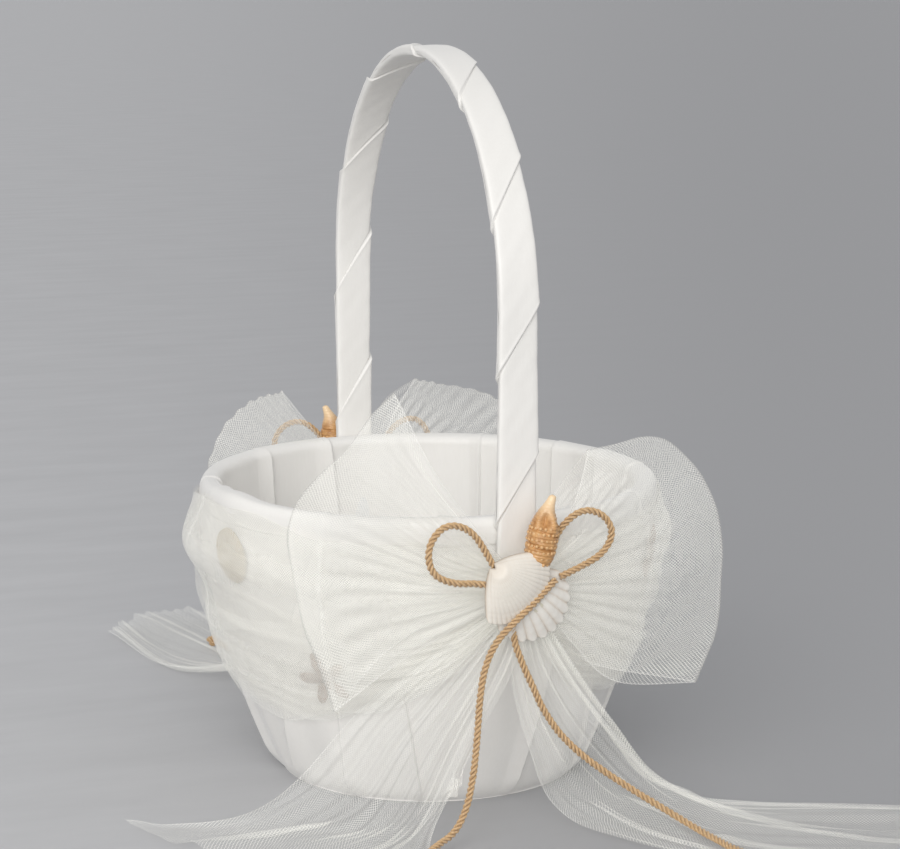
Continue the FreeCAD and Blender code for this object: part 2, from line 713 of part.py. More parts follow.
def facing_front(centre, lean, rise):
    """Local Z faces the front and local X leans from +X towards +Z; rise lifts X to the front."""
    angle = math.radians(lean)
    along = Vector(math.cos(angle), 0, math.sin(angle))
    across = Vector(-math.sin(angle), 0, math.cos(angle))
    turn = Rotation(along, across, Vector(0, -1, 0), "ZXY")
    return Placement(Vector(*centre), turn.multiply(Rotation(Vector(0, 1, 0), -rise)))


def fan_face(length, radius, half_angle):
    """A scallop's outline: a round margin, drawn in to the beak at the origin."""
    offset = length - radius
    angle = math.radians(half_angle)
    reach = offset * math.cos(angle) + math.sqrt(radius**2 - (offset * math.sin(angle)) ** 2)
    upper = Vector(reach * math.cos(angle), reach * math.sin(angle), 0)
    lower = Vector(upper.x, -upper.y, 0)
    margin = Part.Arc(upper, Vector(length, 0, 0), lower).toShape()
    sides = [Part.makeLine(lower, Vector()), Part.makeLine(Vector(), upper)]
    return Part.Face(Part.Wire([margin] + sides))


def scallop(name, side, half_angle, beak, lean, rise):
    """A thin dome, cut to a scallop's outline. The dome's own edge has the margin's radius."""
    node = f"{side}_{name}_scallop"
    length = f"Sizes.{name}_length"
    margin = f"Sizes.{name}_margin * {length}"
    depth = f"Sizes.{name}_depth"
    curve = f"(({margin}) ^ 2 + {depth} ^ 2) / (2 * {depth})"
    domes = []
    for layer, shrink in (("outer", "0"), ("inner", "Sizes.scallop_thickness")):
        dome = document.addObject("Part::Sphere", f"{node}_{layer}")
        dome.setExpression("Radius", f"{curve} - {shrink}")
        dome.setExpression(".Placement.Base.x", f"{length} - {margin}")
        dome.setExpression(".Placement.Base.z", f"{depth} - {curve}")
        domes.append(dome)
    reach = size(f"{name}_length")
    outline = fan_face(reach, size(f"{name}_margin") * reach, half_angle)
    prism = document.addObject("Part::Extrusion", node + "_prism")
    prism.Base = feature(node + "_fan", outline)
    prism.DirMode = "Custom"
    prism.Dir = Vector(0, 0, 1)
    prism.Solid = True
    prism.setExpression("LengthFwd", depth)
    made = document.addObject("Part::Common", node + "_common")
    made.Base = cut(node, *domes)
    made.Tool = prism
    made.Placement = turned(BOW_TURNS[side]).multiply(facing_front(beak, lean, rise))
    keep(made, node)


def spiral_shell(node, side):
    """A spindle with a short spire below and a long canal above, leaning to one side."""
    length, widest = size("spiral_length"), size("spiral_radius")
    points = [Vector(widest * out, length * up, 0) for out, up in SPIRAL_OUTLINE]
    geometry = [Part.LineSegment(a, b) for a, b in zip(points, points[1:] + points[:1])]
    body = turned_profile(node, geometry)
    lean = Placement(Vector(*SPIRAL_BASE), Rotation(Vector(0, 1, 0), SPIRAL_LEAN))
    body.Placement = turned(BOW_TURNS[side]).multiply(lean)
    keep(body, node)


def glue_pad(node, side):
    pad = document.addObject("Part::Cylinder", node + "_pad")
    pad.setExpression("Radius", "Sizes.glue_radius")
    pad.setExpression("Height", "Sizes.glue_height")
    laid = Placement(Vector(*GLUE_BASE), Rotation(Vector(1, 0, 0), 90))
    pad.Placement = turned(BOW_TURNS[side]).multiply(laid)
    keep(pad, node)


def bow(side):
    for hand, sections in BOW_LOOPS[side].items():
        bow_loop(side, hand, sections)
    for hand, shape in BOW_TAILS[side].items():
        bow_tail(side, hand, shape)
    ellipsoid(f"{side}_bow_knot", *TULLE_KNOT, side)
    cords(side)
    for name, shape in SCALLOPS.items():
        scallop(name, side, *shape)
    spiral_shell(f"{side}_spiral_shell", side)
    glue_pad(f"{side}_shell_glue", side)


def check_document():
    for made in document.Objects:
        if "Invalid" in made.State or "Error" in made.State:
            raise SystemExit(f"{made.Name} failed: {made.State}")
    for node in nodes:
        if node.Shape.isNull() or not node.Shape.isValid() or not node.Shape.Solids:
            raise SystemExit(f"{node.Label} has no good solid")


def write_parts():
    os.makedirs("parts", exist_ok=True)
    for old in os.listdir("parts"):
        os.remove(os.path.join("parts", old))
    for node in nodes:
        node.Shape.exportStep(os.path.join("parts", node.Label + ".step"))


fill_sheet()
base_pieces()
staves()
tack_group = tacks()
hoops(tack_group)
satin_cover(tack_group)
wall_padding()
lining()
handle(tack_group)
tulle_wrap()
sand_dollars()
starfish()
for side in BOW_TURNS:
    bow(side)
document.recompute()
check_document()
write_parts()
print(f"{len(nodes)} sub-parts, rim radius {wall_radius(128.0):.2f}")
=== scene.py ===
import math

import bpy
import numpy as np
from bpy.props import BoolProperty, FloatProperty, FloatVectorProperty, IntProperty, PointerProperty
from mathutils import Matrix, Vector


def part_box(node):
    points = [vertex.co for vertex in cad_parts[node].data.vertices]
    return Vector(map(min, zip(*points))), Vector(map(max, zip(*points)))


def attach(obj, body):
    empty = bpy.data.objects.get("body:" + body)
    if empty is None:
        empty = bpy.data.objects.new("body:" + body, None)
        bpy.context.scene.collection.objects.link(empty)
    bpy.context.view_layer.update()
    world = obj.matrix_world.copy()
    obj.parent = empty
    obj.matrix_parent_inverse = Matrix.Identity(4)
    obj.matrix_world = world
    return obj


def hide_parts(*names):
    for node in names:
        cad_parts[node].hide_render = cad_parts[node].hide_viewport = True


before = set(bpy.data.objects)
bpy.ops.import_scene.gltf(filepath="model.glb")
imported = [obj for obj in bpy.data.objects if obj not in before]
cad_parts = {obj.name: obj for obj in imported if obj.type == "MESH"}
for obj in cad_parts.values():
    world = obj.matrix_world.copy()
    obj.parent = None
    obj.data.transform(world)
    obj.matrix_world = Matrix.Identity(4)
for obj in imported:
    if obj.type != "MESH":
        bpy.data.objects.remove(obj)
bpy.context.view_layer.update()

bl_info = {
    "name": "Flower girl basket",
    "version": (1, 0, 0),
    "blender": (4, 5, 0),
    "location": "View3D > Sidebar > Basket",
    "description": "Satin, tulle, cord and shells of a flower girl basket, round its built frame",
    "category": "Add Mesh",
}

RIM_LOW, RIM_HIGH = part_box("satin_lining")
STRIP_LOW, STRIP_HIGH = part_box("handle_strip")
BAND_LOW, BAND_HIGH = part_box("tulle_wrap")
PAD_LOW, PAD_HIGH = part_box("bottom_pad")
SIDES = {"front": 1.0, "back": -1.0}

# Routes of the jute cords of a bow, in metres, as the front bow has them.
CORD_LOOPS = {
    "left": (
        (-0.013, -0.1166, 0.1095), (-0.0185, -0.1173, 0.1195), (-0.0255, -0.1179, 0.1295),
        (-0.036, -0.1184, 0.1325), (-0.0436, -0.1186, 0.1245), (-0.0426, -0.1186, 0.113),
        (-0.033, -0.1182, 0.1078), (-0.021, -0.1176, 0.1072), (-0.013, -0.1166, 0.1044),
    ),
    "right": (
        (0.005, -0.1166, 0.1075), (0.0085, -0.1172, 0.117), (0.0125, -0.1178, 0.127),
        (0.0215, -0.1184, 0.1342), (0.031, -0.1186, 0.1318), (0.036, -0.1186, 0.124),
        (0.032, -0.1184, 0.1154), (0.022, -0.1182, 0.1104), (0.0125, -0.1194, 0.1074),
    ),
}
CORD_TAILS = {
    "front": {
        "left": (
            (0.010, -0.1204, 0.1066), (-0.0005, -0.123, 0.0984), (-0.008, -0.1228, 0.092),
            (-0.0145, -0.120, 0.0845), (-0.0193, -0.1188, 0.0745), (-0.0216, -0.1188, 0.062),
            (-0.0226, -0.119, 0.048), (-0.024, -0.1194, 0.033), (-0.027, -0.1204, 0.018),
            (-0.033, -0.1226, 0.0075), (-0.043, -0.127, 0.0044), (-0.051, -0.1355, 0.004),
            (-0.055, -0.1465, 0.0042),
        ),
        "right": (
            (-0.0066, -0.1158, 0.092), (-0.0068, -0.1168, 0.083), (-0.0034, -0.1182, 0.073),
            (0.001, -0.1189, 0.063), (0.0056, -0.1194, 0.0525), (0.0134, -0.1204, 0.041),
            (0.0238, -0.1228, 0.031), (0.0355, -0.1274, 0.0223), (0.046, -0.1334, 0.0152),
            (0.0546, -0.1408, 0.0098), (0.0606, -0.1496, 0.006), (0.0646, -0.1604, 0.0043),
            (0.0664, -0.172, 0.0041), (0.071, -0.1826, 0.0042),
        ),
    },
    "back": {
        "left": (
            (0.010, -0.1204, 0.1066), (-0.0005, -0.123, 0.0984), (-0.008, -0.1228, 0.092),
            (-0.014, -0.120, 0.084), (-0.0176, -0.1188, 0.074), (-0.019, -0.119, 0.061),
            (-0.0204, -0.1196, 0.047), (-0.0234, -0.121, 0.0325), (-0.028, -0.124, 0.0185),
            (-0.034, -0.1296, 0.008), (-0.042, -0.138, 0.0044), (-0.048, -0.149, 0.004),
            (-0.050, -0.161, 0.0042),
        ),
        "right": (
            (-0.0066, -0.1158, 0.092), (-0.0068, -0.1168, 0.083), (-0.0036, -0.1182, 0.073),
            (0.0004, -0.1192, 0.062), (0.0046, -0.1198, 0.050), (0.0094, -0.121, 0.038),
            (0.015, -0.1244, 0.026), (0.0214, -0.131, 0.0146), (0.028, -0.141, 0.0066),
            (0.034, -0.1536, 0.0044), (0.038, -0.168, 0.0041), (0.039, -0.183, 0.004),
            (0.0376, -0.197, 0.0041), (0.041, -0.2094, 0.0042),
        ),
    },
}

# Tulle loops as (x, z) of the near layer: one row for each line of the ribbon from its upper to
# its lower selvage, from the knot to the fold at the loop's far end.
LOOP_SHAPES = {
    "front": {
        "left": (
            ((-0.006, 0.110), (-0.021, 0.128), (-0.037, 0.152), (-0.0485, 0.182)),
            ((-0.006, 0.107), (-0.030, 0.124), (-0.054, 0.148), (-0.0715, 0.162)),
            ((-0.006, 0.104), (-0.038, 0.113), (-0.070, 0.128), (-0.092, 0.136)),
            ((-0.006, 0.101), (-0.038, 0.101), (-0.070, 0.102), (-0.0915, 0.100)),
            ((-0.006, 0.098), (-0.030, 0.088), (-0.056, 0.074), (-0.0775, 0.056)),
        ),
        "right": (
            ((0.006, 0.110), (0.015, 0.124), (0.024, 0.138), (0.033, 0.154)),
            ((0.006, 0.107), (0.027, 0.124), (0.049, 0.142), (0.068, 0.156)),
            ((0.006, 0.104), (0.033, 0.112), (0.065, 0.120), (0.0895, 0.126)),
            ((0.006, 0.101), (0.032, 0.094), (0.064, 0.087), (0.0945, 0.086)),
            ((0.006, 0.098), (0.021, 0.077), (0.042, 0.058), (0.083, 0.051)),
        ),
    },
    "back": {
        "left": (
            ((-0.006, 0.110), (-0.011, 0.126), (-0.017, 0.143), (-0.028, 0.154)),
            ((-0.006, 0.107), (-0.026, 0.124), (-0.042, 0.140), (-0.052, 0.149)),
            ((-0.006, 0.104), (-0.036, 0.116), (-0.062, 0.128), (-0.076, 0.138)),
            ((-0.006, 0.101), (-0.038, 0.104), (-0.072, 0.106), (-0.091, 0.112)),
            ((-0.006, 0.098), (-0.030, 0.090), (-0.054, 0.082), (-0.076, 0.078)),
        ),
        "right": (
            ((0.006, 0.110), (0.014, 0.124), (0.026, 0.136), (0.038, 0.152)),
            ((0.006, 0.107), (0.024, 0.119), (0.040, 0.132), (0.053, 0.146)),
            ((0.006, 0.104), (0.030, 0.110), (0.055, 0.114), (0.074, 0.118)),
            ((0.006, 0.101), (0.030, 0.094), (0.058, 0.090), (0.082, 0.086)),
            ((0.006, 0.098), (0.024, 0.080), (0.046, 0.066), (0.072, 0.062)),
        ),
    },
}

TAIL_SHAPES = {
    "front": {
        "left": (
            ((-0.005, -0.110, 0.096), (-0.032, -0.106, 0.080), (-0.064, -0.100, 0.056),
             (-0.086, -0.086, 0.026), (-0.110, -0.066, 0.0025), (-0.151, -0.054, 0.0015)),
            ((-0.003, -0.111, 0.096), (-0.022, -0.109, 0.074), (-0.048, -0.106, 0.044),
             (-0.068, -0.100, 0.012), (-0.092, -0.090, 0.0020), (-0.132, -0.089, 0.0015)),
            ((-0.001, -0.111, 0.096), (-0.013, -0.112, 0.072), (-0.032, -0.111, 0.040),
             (-0.050, -0.112, 0.009), (-0.070, -0.118, 0.0020), (-0.098, -0.128, 0.0015)),
            ((0.002, -0.110, 0.096), (-0.005, -0.114, 0.072), (-0.020, -0.115, 0.044),
             (-0.038, -0.116, 0.011), (-0.048, -0.130, 0.0020), (-0.062, -0.164, 0.0015)),
        ),
        "right": (
            ((-0.004, -0.111, 0.095), (-0.006, -0.113, 0.066), (0.002, -0.113, 0.036),
             (0.015, -0.113, 0.009), (0.036, -0.146, 0.0016), (0.092, -0.221, 0.0012)),
            ((-0.001, -0.111, 0.095), (0.004, -0.114, 0.066), (0.018, -0.116, 0.036),
             (0.040, -0.124, 0.0115), (0.068, -0.158, 0.0018), (0.122, -0.204, 0.0012)),
            ((0.002, -0.111, 0.095), (0.014, -0.113, 0.066), (0.033, -0.115, 0.038),
             (0.058, -0.120, 0.012), (0.090, -0.142, 0.0018), (0.152, -0.184, 0.0012)),
            ((0.005, -0.110, 0.095), (0.022, -0.110, 0.068), (0.042, -0.109, 0.041),
             (0.066, -0.108, 0.013), (0.098, -0.118, 0.0018), (0.177, -0.150, 0.0012)),
        ),
    },
    "back": {
        "left": (
            ((-0.005, -0.110, 0.096), (-0.022, -0.107, 0.076), (-0.040, -0.106, 0.048),
             (-0.054, -0.116, 0.016), (-0.076, -0.138, 0.0025), (-0.106, -0.160, 0.0015)),
            ((-0.003, -0.111, 0.096), (-0.015, -0.110, 0.074), (-0.030, -0.111, 0.044),
             (-0.042, -0.122, 0.012), (-0.064, -0.154, 0.0020), (-0.094, -0.188, 0.0015)),
            ((-0.001, -0.111, 0.096), (-0.009, -0.112, 0.072), (-0.019, -0.114, 0.040),
             (-0.028, -0.124, 0.009), (-0.046, -0.164, 0.0020), (-0.068, -0.206, 0.0015)),
            ((0.002, -0.110, 0.096), (-0.002, -0.113, 0.072), (-0.008, -0.115, 0.044),
             (-0.014, -0.124, 0.011), (-0.026, -0.162, 0.0020), (-0.042, -0.212, 0.0015)),
        ),
        "right": (
            ((-0.004, -0.111, 0.095), (-0.002, -0.114, 0.068), (0.001, -0.116, 0.040),
             (0.005, -0.126, 0.010), (0.006, -0.176, 0.0020), (0.020, -0.262, 0.0015)),
            ((-0.001, -0.111, 0.095), (0.005, -0.115, 0.066), (0.011, -0.118, 0.036),
             (0.018, -0.132, 0.0115), (0.028, -0.184, 0.0025), (0.050, -0.287, 0.0015)),
            ((0.002, -0.111, 0.095), (0.012, -0.114, 0.066), (0.022, -0.117, 0.038),
             (0.032, -0.130, 0.012), (0.054, -0.180, 0.0025), (0.072, -0.270, 0.0015)),
            ((0.005, -0.110, 0.095), (0.020, -0.111, 0.068), (0.032, -0.112, 0.041),
             (0.046, -0.122, 0.014), (0.077, -0.172, 0.0025), (0.087, -0.252, 0.0015)),
        ),
    },
}

# Pleats of the satin: (direction round the bowl in degrees, how far it leans from its foot to the
# rim, width in metres, side on which its edge lies).
COVER_PLEATS = (
    (-46, -34, 0.016, 1), (-41, 15, 0.011, 1), (-20, 9, 0.011, 1), (-78, 6, 0.010, -1),
    (-112, -10, 0.010, -1), (-140, 9, 0.013, 1), (-167, 30, 0.014, 1), (172, -8, 0.011, 1),
    (140, 10, 0.010, -1), (112, -10, 0.012, 1), (70, 12, 0.010, -1), (38, -9, 0.011, 1),
    (8, 8, 0.010, -1),
)
LINING_PLEATS = (
    (53, 1, 0.006, 1), (26, 5, 0.012, -1), (4, 9, 0.010, -1), (-14, 6, 0.008, 1),
    (96, 4, 0.010, 1), (128, -5, 0.010, 1), (160, 6, 0.009, -1), (-172, -7, 0.011, 1),
    (-140, 5, 0.009, -1), (-104, -4, 0.010, 1), (-76, 5, 0.009, -1), (-42, -5, 0.010, 1),
)


# Scallops: half angle of the fan, beak, lean and rise of the margin as the front bow has them, and
# how many ribs each has.
SCALLOPS = {
    "upper": (54.0, (-0.0162, -0.1180, 0.1136), -42.0, 3.0),
    "lower": (48.0, (-0.0085, -0.1135, 0.1100), -52.0, 4.0),
}
RIBS = {"upper": 21, "lower": 11}
SPIRAL_BASE = (0.0028, -0.1174, 0.1088)
SPIRAL_WIDTHS = (
    (0.0, 0.30), (0.08, 0.62), (0.25, 0.95), (0.45, 1.0), (0.60, 0.92), (0.72, 0.70), (0.84, 0.40),
    (0.93, 0.27), (1.0, 0.20),
)
SPIRAL_BEADS = (0.13, 0.205, 0.28, 0.355, 0.43, 0.505, 0.575)


# Sizes and colours


class BasketBowl(bpy.types.PropertyGroup):
    """Sizes of the satin bowl."""

    curve_radius: FloatProperty(
        name="Side curve", description="Radius of the wall's side curve", default=0.3395, unit="LENGTH"
    )
    curve_inset: FloatProperty(
        name="Curve inset", description="Curve's centre beyond the axis", default=0.239, unit="LENGTH"
    )
    curve_height: FloatProperty(
        name="Curve height", description="Curve's centre above the base", default=0.1469, unit="LENGTH"
    )
    roll_radius: FloatProperty(
        name="Rim roll", description="Radius of the soft rolled rim", default=0.0046, unit="LENGTH"
    )
    rim_outside: FloatProperty(
        name="Rim outside", description="From the rim's crest to its outer side", default=0.003, unit="LENGTH"
    )
    rim_drop: FloatProperty(
        name="Rim drop", description="Height of the rim's inner slope", default=0.0055, unit="LENGTH"
    )
    lining_gap: FloatProperty(
        name="Wall thickness", description="From cover to lining", default=0.0092, unit="LENGTH"
    )
    pleat_height: FloatProperty(
        name="Pleat height", description="Thickness of a folded pleat", default=0.0019, unit="LENGTH"
    )
    fold_height: FloatProperty(
        name="Fold height", description="Thickness of a fold of the lining", default=0.0024, unit="LENGTH"
    )


class BasketHandle(bpy.types.PropertyGroup):
    """Sizes of the ribbon wound round the handle."""

    half_width: FloatProperty(
        name="Half width", description="Half the wound strip's width", default=0.0079, unit="LENGTH"
    )
    half_depth: FloatProperty(
        name="Half depth", description="Half the wound strip's thickness", default=0.0018, unit="LENGTH"
    )
    pitch: FloatProperty(
        name="Pitch", description="Advance of one turn of ribbon", default=0.060, unit="LENGTH"
    )
    step: FloatProperty(
        name="Step", description="Height of the ribbon's overlapping edge", default=0.0008, unit="LENGTH"
    )
    spread: FloatProperty(
        name="Spread", description="Half the handle's widest span", default=0.1048, unit="LENGTH"
    )
    bend: FloatProperty(
        name="Top bend", description="Bend radius of the handle's top", default=0.103, unit="LENGTH"
    )
    leg_bend: FloatProperty(
        name="Leg bend", description="Bend radius of a leg at the rim", default=0.150, unit="LENGTH"
    )
    bend_height: FloatProperty(
        name="Bend height", description="Where a leg turns upright", default=0.126, unit="LENGTH"
    )
    bend_spread: FloatProperty(
        name="Bend spread", description="Half the span where a leg turns", default=0.1031, unit="LENGTH"
    )


class BasketTulle(bpy.types.PropertyGroup):
    """Sizes of the tulle and its net."""

    ribbon: FloatProperty(
        name="Ribbon width", description="Width that the tulle was cut to", default=0.125, unit="LENGTH"
    )
    cell: FloatProperty(
        name="Cell", description="Size of one cell of the net", default=0.0011, unit="LENGTH"
    )
    thread: FloatProperty(
        name="Thread", description="Share of a cell that its thread fills", default=0.105, min=0.01, max=0.6
    )
    haze: FloatProperty(
        name="Haze", description="Cover of the finest fibres between threads", default=0.03, min=0, max=1
    )
    rise: FloatProperty(
        name="Band rise", description="How far the band climbs the rim's left side", default=0.006,
        unit="LENGTH",
    )
    puff: FloatProperty(
        name="Band puff", description="How far the band bulges on the left side", default=0.0065,
        unit="LENGTH",
    )
    gathers: IntProperty(name="Gathers", description="Fine folds across a strip", default=16)
    deepest: FloatProperty(
        name="Deepest gather", description="The most that a fine fold stands off", default=0.003,
        unit="LENGTH",
    )
    loop_gather: FloatProperty(
        name="Loop gather", description="Part of a loop's spare width that its gathers take up", default=0.46
    )
    tail_gather: FloatProperty(
        name="Tail gather", description="Part of a tail's spare width that its gathers take up", default=0.56
    )
    seed: IntProperty(name="Seed", description="Seed of the folds", default=7)


class BasketCord(bpy.types.PropertyGroup):
    """Sizes of the twisted jute cord."""

    diameter: FloatProperty(
        name="Diameter", description="Diameter of the cord", default=0.003, unit="LENGTH"
    )
    lay: FloatProperty(
        name="Lay", description="Advance of one turn of a strand", default=0.0068, unit="LENGTH"
    )
    fibres: FloatProperty(
        name="Loose fibres", description="Loose fibres for each metre of cord", default=420.0
    )


class BasketShells(bpy.types.PropertyGroup):
    """Sizes of the shells and sea creatures."""

    upper: FloatVectorProperty(
        name="Upper scallop", description="Length, margin's radius and dome of the upper scallop",
        default=(0.0245, 0.0196, 0.0060), size=3, subtype="XYZ", unit="LENGTH", precision=4,
    )
    lower: FloatVectorProperty(
        name="Lower scallop", description="Length, margin's radius and dome of the lower scallop",
        default=(0.0310, 0.01736, 0.0045), size=3, subtype="XYZ", unit="LENGTH", precision=4,
    )
    spiral: FloatProperty(
        name="Spiral shell", description="Length of the spiral shell", default=0.0325, unit="LENGTH"
    )
    spiral_radius: FloatProperty(
        name="Spiral radius", description="Spiral shell at its widest", default=0.0064, unit="LENGTH"
    )


def colour(name, description, default):
    return FloatVectorProperty(
        name=name, description=description, default=default, size=3, subtype="COLOR", min=0, max=1
    )


class BasketColours(bpy.types.PropertyGroup):
    """Colours of the finishes."""

    satin: colour("Satin", "Ivory white satin", (0.84, 0.825, 0.795))
    # Painted shade where the satin's floats sink, and the dark end of its slow uneven tone.
    satin_painted_shade_and_tone: colour("Satin shade", "Satin where its threads sink", (0.77, 0.75, 0.715))
    tulle: colour("Tulle", "Off-white net", (0.88, 0.87, 0.82))
    jute_light: colour("Light jute", "Dry fibres of the cord", (0.82, 0.59, 0.35))
    # Dark fibres of the grain, and also the painted shade on each strand's inner side.
    jute_dark_and_shade: colour("Dark jute", "Grooves between the cord's strands", (0.41, 0.24, 0.10))
    scallop_cream: colour("Cream scallop", "Ribs of the upper scallop", (0.80, 0.76, 0.69))
    scallop_white: colour("White scallop", "Ribs of the lower scallop", (0.82, 0.80, 0.75))
    # Growth bands, and also the painted shade in the grooves between the ribs.
    scallop_bands_and_shade: colour("Scallop bands", "Growth bands of a scallop", (0.64, 0.53, 0.42))
    spiral: colour("Spiral shell", "Orange brown body of the spiral shell", (0.36, 0.15, 0.04))
    spiral_pale: colour("Spiral shell, pale", "Worn parts of the spiral shell", (0.72, 0.42, 0.18))
    canal: colour("Canal", "Pale tip of the spiral shell", (0.86, 0.64, 0.40))
    bead: colour("Beads", "Raised beads of the spiral shell", (0.78, 0.48, 0.23))
    dollar: colour("Sand dollar", "Tan sand dollar", (0.46, 0.35, 0.18))
    starfish: colour("Starfish", "Orange tan starfish", (0.36, 0.16, 0.07))
    wood: colour("Wood", "Raw split wood", (0.50, 0.33, 0.17))
    floor: colour("Floor", "Pale plain floor", (0.57, 0.57, 0.58))
    # Painted shade: the floor's tone on its shaded side.
    floor_painted_shade: colour("Floor, shaded", "The floor towards its shaded side", (0.385, 0.385, 0.395))


class BasketStage(bpy.types.PropertyGroup):
    """Camera and light."""

    direction: FloatProperty(
        name="Direction", description="Camera's direction round the basket", default=math.radians(-20.0),
        subtype="ANGLE",
    )
    distance: FloatProperty(
        name="Distance", description="Camera from the basket's axis", default=1.1, unit="LENGTH"
    )
    height: FloatProperty(
        name="Height", description="Camera above the floor", default=0.344, unit="LENGTH"
    )
    pitch: FloatProperty(
        name="Pitch", description="How far the camera looks down", default=math.radians(10.0),
        subtype="ANGLE",
    )
    turn: FloatProperty(
        name="Turn", description="How far it looks past the axis", default=math.radians(0.493),
        subtype="ANGLE",
    )
    lens: FloatProperty(name="Lens", description="Focal length in millimetres", default=102.24)
    sun: FloatProperty(name="Window light", description="Strength of the broad soft light", default=1.5)
    key: FloatProperty(name="Key light", description="Power of the near soft light", default=5.0)
    ambient: FloatProperty(name="Ambient", description="Strength of the even light", default=0.58)
    exposure: FloatProperty(name="Exposure", description="Exposure of the view", default=0.0)
    show_floor: BoolProperty(name="Floor", description="Lay the floor", default=True)


GROUPS = {
    "basket_bowl": BasketBowl,
    "basket_handle": BasketHandle,
    "basket_tulle": BasketTulle,
    "basket_cord": BasketCord,
    "basket_shells": BasketShells,
    "basket_colours": BasketColours,
    "basket_stage": BasketStage,
}


def bowl():
    return bpy.context.scene.basket_bowl


def tulle():
    return bpy.context.scene.basket_tulle


def colours():
    return bpy.context.scene.basket_colours


# Curves and sheets as arrays


def eased(value):
    value = np.clip(value, 0.0, 1.0)
    return value * value * (3.0 - 2.0 * value)


def spread(values, count, axis=0):
    """Values along one axis of a control net, joined by a smooth curve through all of them."""
    rows = np.moveaxis(np.asarray(values, float), axis, 0)
    last = len(rows) - 1
    rows = np.concatenate([2 * rows[:1] - rows[1:2], rows, 2 * rows[-1:] - rows[-2:-1]])
    place = np.linspace(0.0, last, count)
    index = np.minimum(place.astype(int), last - 1)
    t = (place - index).reshape((-1,) + (1,) * (rows.ndim - 1))
    before, start, end, after = (rows[index + shift] for shift in range(4))
    curve = 0.5 * (
        2 * start
        + (end - before) * t
        + (2 * before - 5 * start + 4 * end - after) * t**2
        + (3 * start - before - 3 * end + after) * t**3
    )
    return np.moveaxis(curve, 0, axis)


def grid_normals(points, around=False):
    """Unit normals of a grid of points."""
    if around:
        across = np.roll(points, -1, axis=1) - np.roll(points, 1, axis=1)
    else:
        across = np.gradient(points, axis=1)
    normals = np.cross(np.gradient(points, axis=0), across)
    return normals / np.maximum(np.linalg.norm(normals, axis=2, keepdims=True), 1e-12)


def ripples(rng, u, v, waves, count=5):
    """Uneven waves over a surface. waves gives the least and most cycles along u and along v."""
    (u_low, u_high), (v_low, v_high) = waves
    total = np.zeros(np.broadcast(u, v).shape)
    for _ in range(count):
        along = rng.uniform(u_low, u_high)
        across = rng.uniform(v_low, v_high)
        phase = rng.uniform(0.0, 2 * math.pi)
        total += np.sin(2 * math.pi * (along * u + across * v) + phase)
    return total / math.sqrt(count)


def new_mesh(name, points, faces, uvs=None, smooth=True):
    """A mesh from points, faces as index tuples and one UV for each corner."""
    mesh = bpy.data.meshes.new(name)
    mesh.from_pydata(points, [], faces)
    if uvs is not None:
        layer = mesh.uv_layers.new(name="UVMap")
        layer.data.foreach_set("uv", np.asarray(uvs, np.float32).ravel())
    mesh.polygons.foreach_set("use_smooth", [smooth] * len(mesh.polygons))
    mesh.update()
    made = bpy.data.objects.new(name, mesh)
    bpy.context.scene.collection.objects.link(made)
    return made


def sheet_faces(rows, columns, around=False, start=0):
    """Corner indices and grid corners of a grid's quads, closed round its columns if asked."""
    wide = columns if around else columns - 1
    row, column = np.meshgrid(np.arange(rows - 1), np.arange(wide), indexing="ij")
    row, column = row.ravel(), column.ravel()
    beside = column + 1
    corners = ((row, column), (row, beside), (row + 1, beside), (row + 1, column))
    faces = np.stack([r * columns + c % columns for r, c in corners], axis=1) + start
    return faces, [(r, c) for r, c in corners]


def sheet_mesh(name, points, u, v, around=False, flip=False):
    """A grid of points as one sheet. u and v are the UVs of its rows and columns, in metres."""
    rows, columns = points.shape[:2]
    faces, corners = sheet_faces(rows, columns, around)
    u = np.broadcast_to(u, (rows, columns + (1 if around else 0)))
    v = np.broadcast_to(v, (rows, columns + (1 if around else 0)))
    uvs = np.stack([np.stack([u[r, c], v[r, c]], axis=1) for r, c in corners], axis=1)
    if flip:
        faces, uvs = faces[:, ::-1], uvs[:, ::-1]
    return new_mesh(name, points.reshape(-1, 3).tolist(), faces.tolist(), uvs.reshape(-1, 2))


def to_side(points, side):
    """Turns a front bow's points to its own side of the basket."""
    return np.asarray(points, float) * np.array([SIDES[side], SIDES[side], 1.0])


def place(piece, slot_name, material, *replaced):
    """Every piece rides on the one body, stands for its CAD nodes and takes a finish."""
    if material is not None:
        piece.data.materials.append(material)
    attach(piece, "root")
    if replaced:
        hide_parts(*replaced)
    return piece


# Effects that several materials share


def socket(group, name, kind, direction, default=None):
    made = group.interface.new_socket(name=name, in_out=direction, socket_type="NodeSocket" + kind)
    if default is not None:
        made.default_value = default
    return made


def node(tree, kind, **settings):
    made = tree.nodes.new("ShaderNode" + kind)
    for name, value in settings.items():
        setattr(made, name, value)
    return made


def wire(tree, source, target):
    tree.links.new(source, target)


def math_node(tree, operation, first, second=None, clamp=False):
    """A Math node. Its inputs are numbers or other nodes' sockets."""
    made = node(tree, "Math", operation=operation, use_clamp=clamp)
    for index, value in enumerate((first, second)):
        if isinstance(value, (int, float)):
            made.inputs[index].default_value = value
        elif value is not None:
            wire(tree, value, made.inputs[index])
    return made.outputs[0]


def mix_colour(tree, factor, first, second):
    made = node(tree, "Mix", data_type="RGBA")
    for target, value in ((made.inputs[0], factor), (made.inputs[6], first), (made.inputs[7], second)):
        if isinstance(value, bpy.types.NodeSocket):
            wire(tree, value, target)
        elif isinstance(value, (int, float)):
            target.default_value = value
        else:
            target.default_value = tuple(value) + ((1.0,) if len(value) == 3 else ())
    return made.outputs[2]


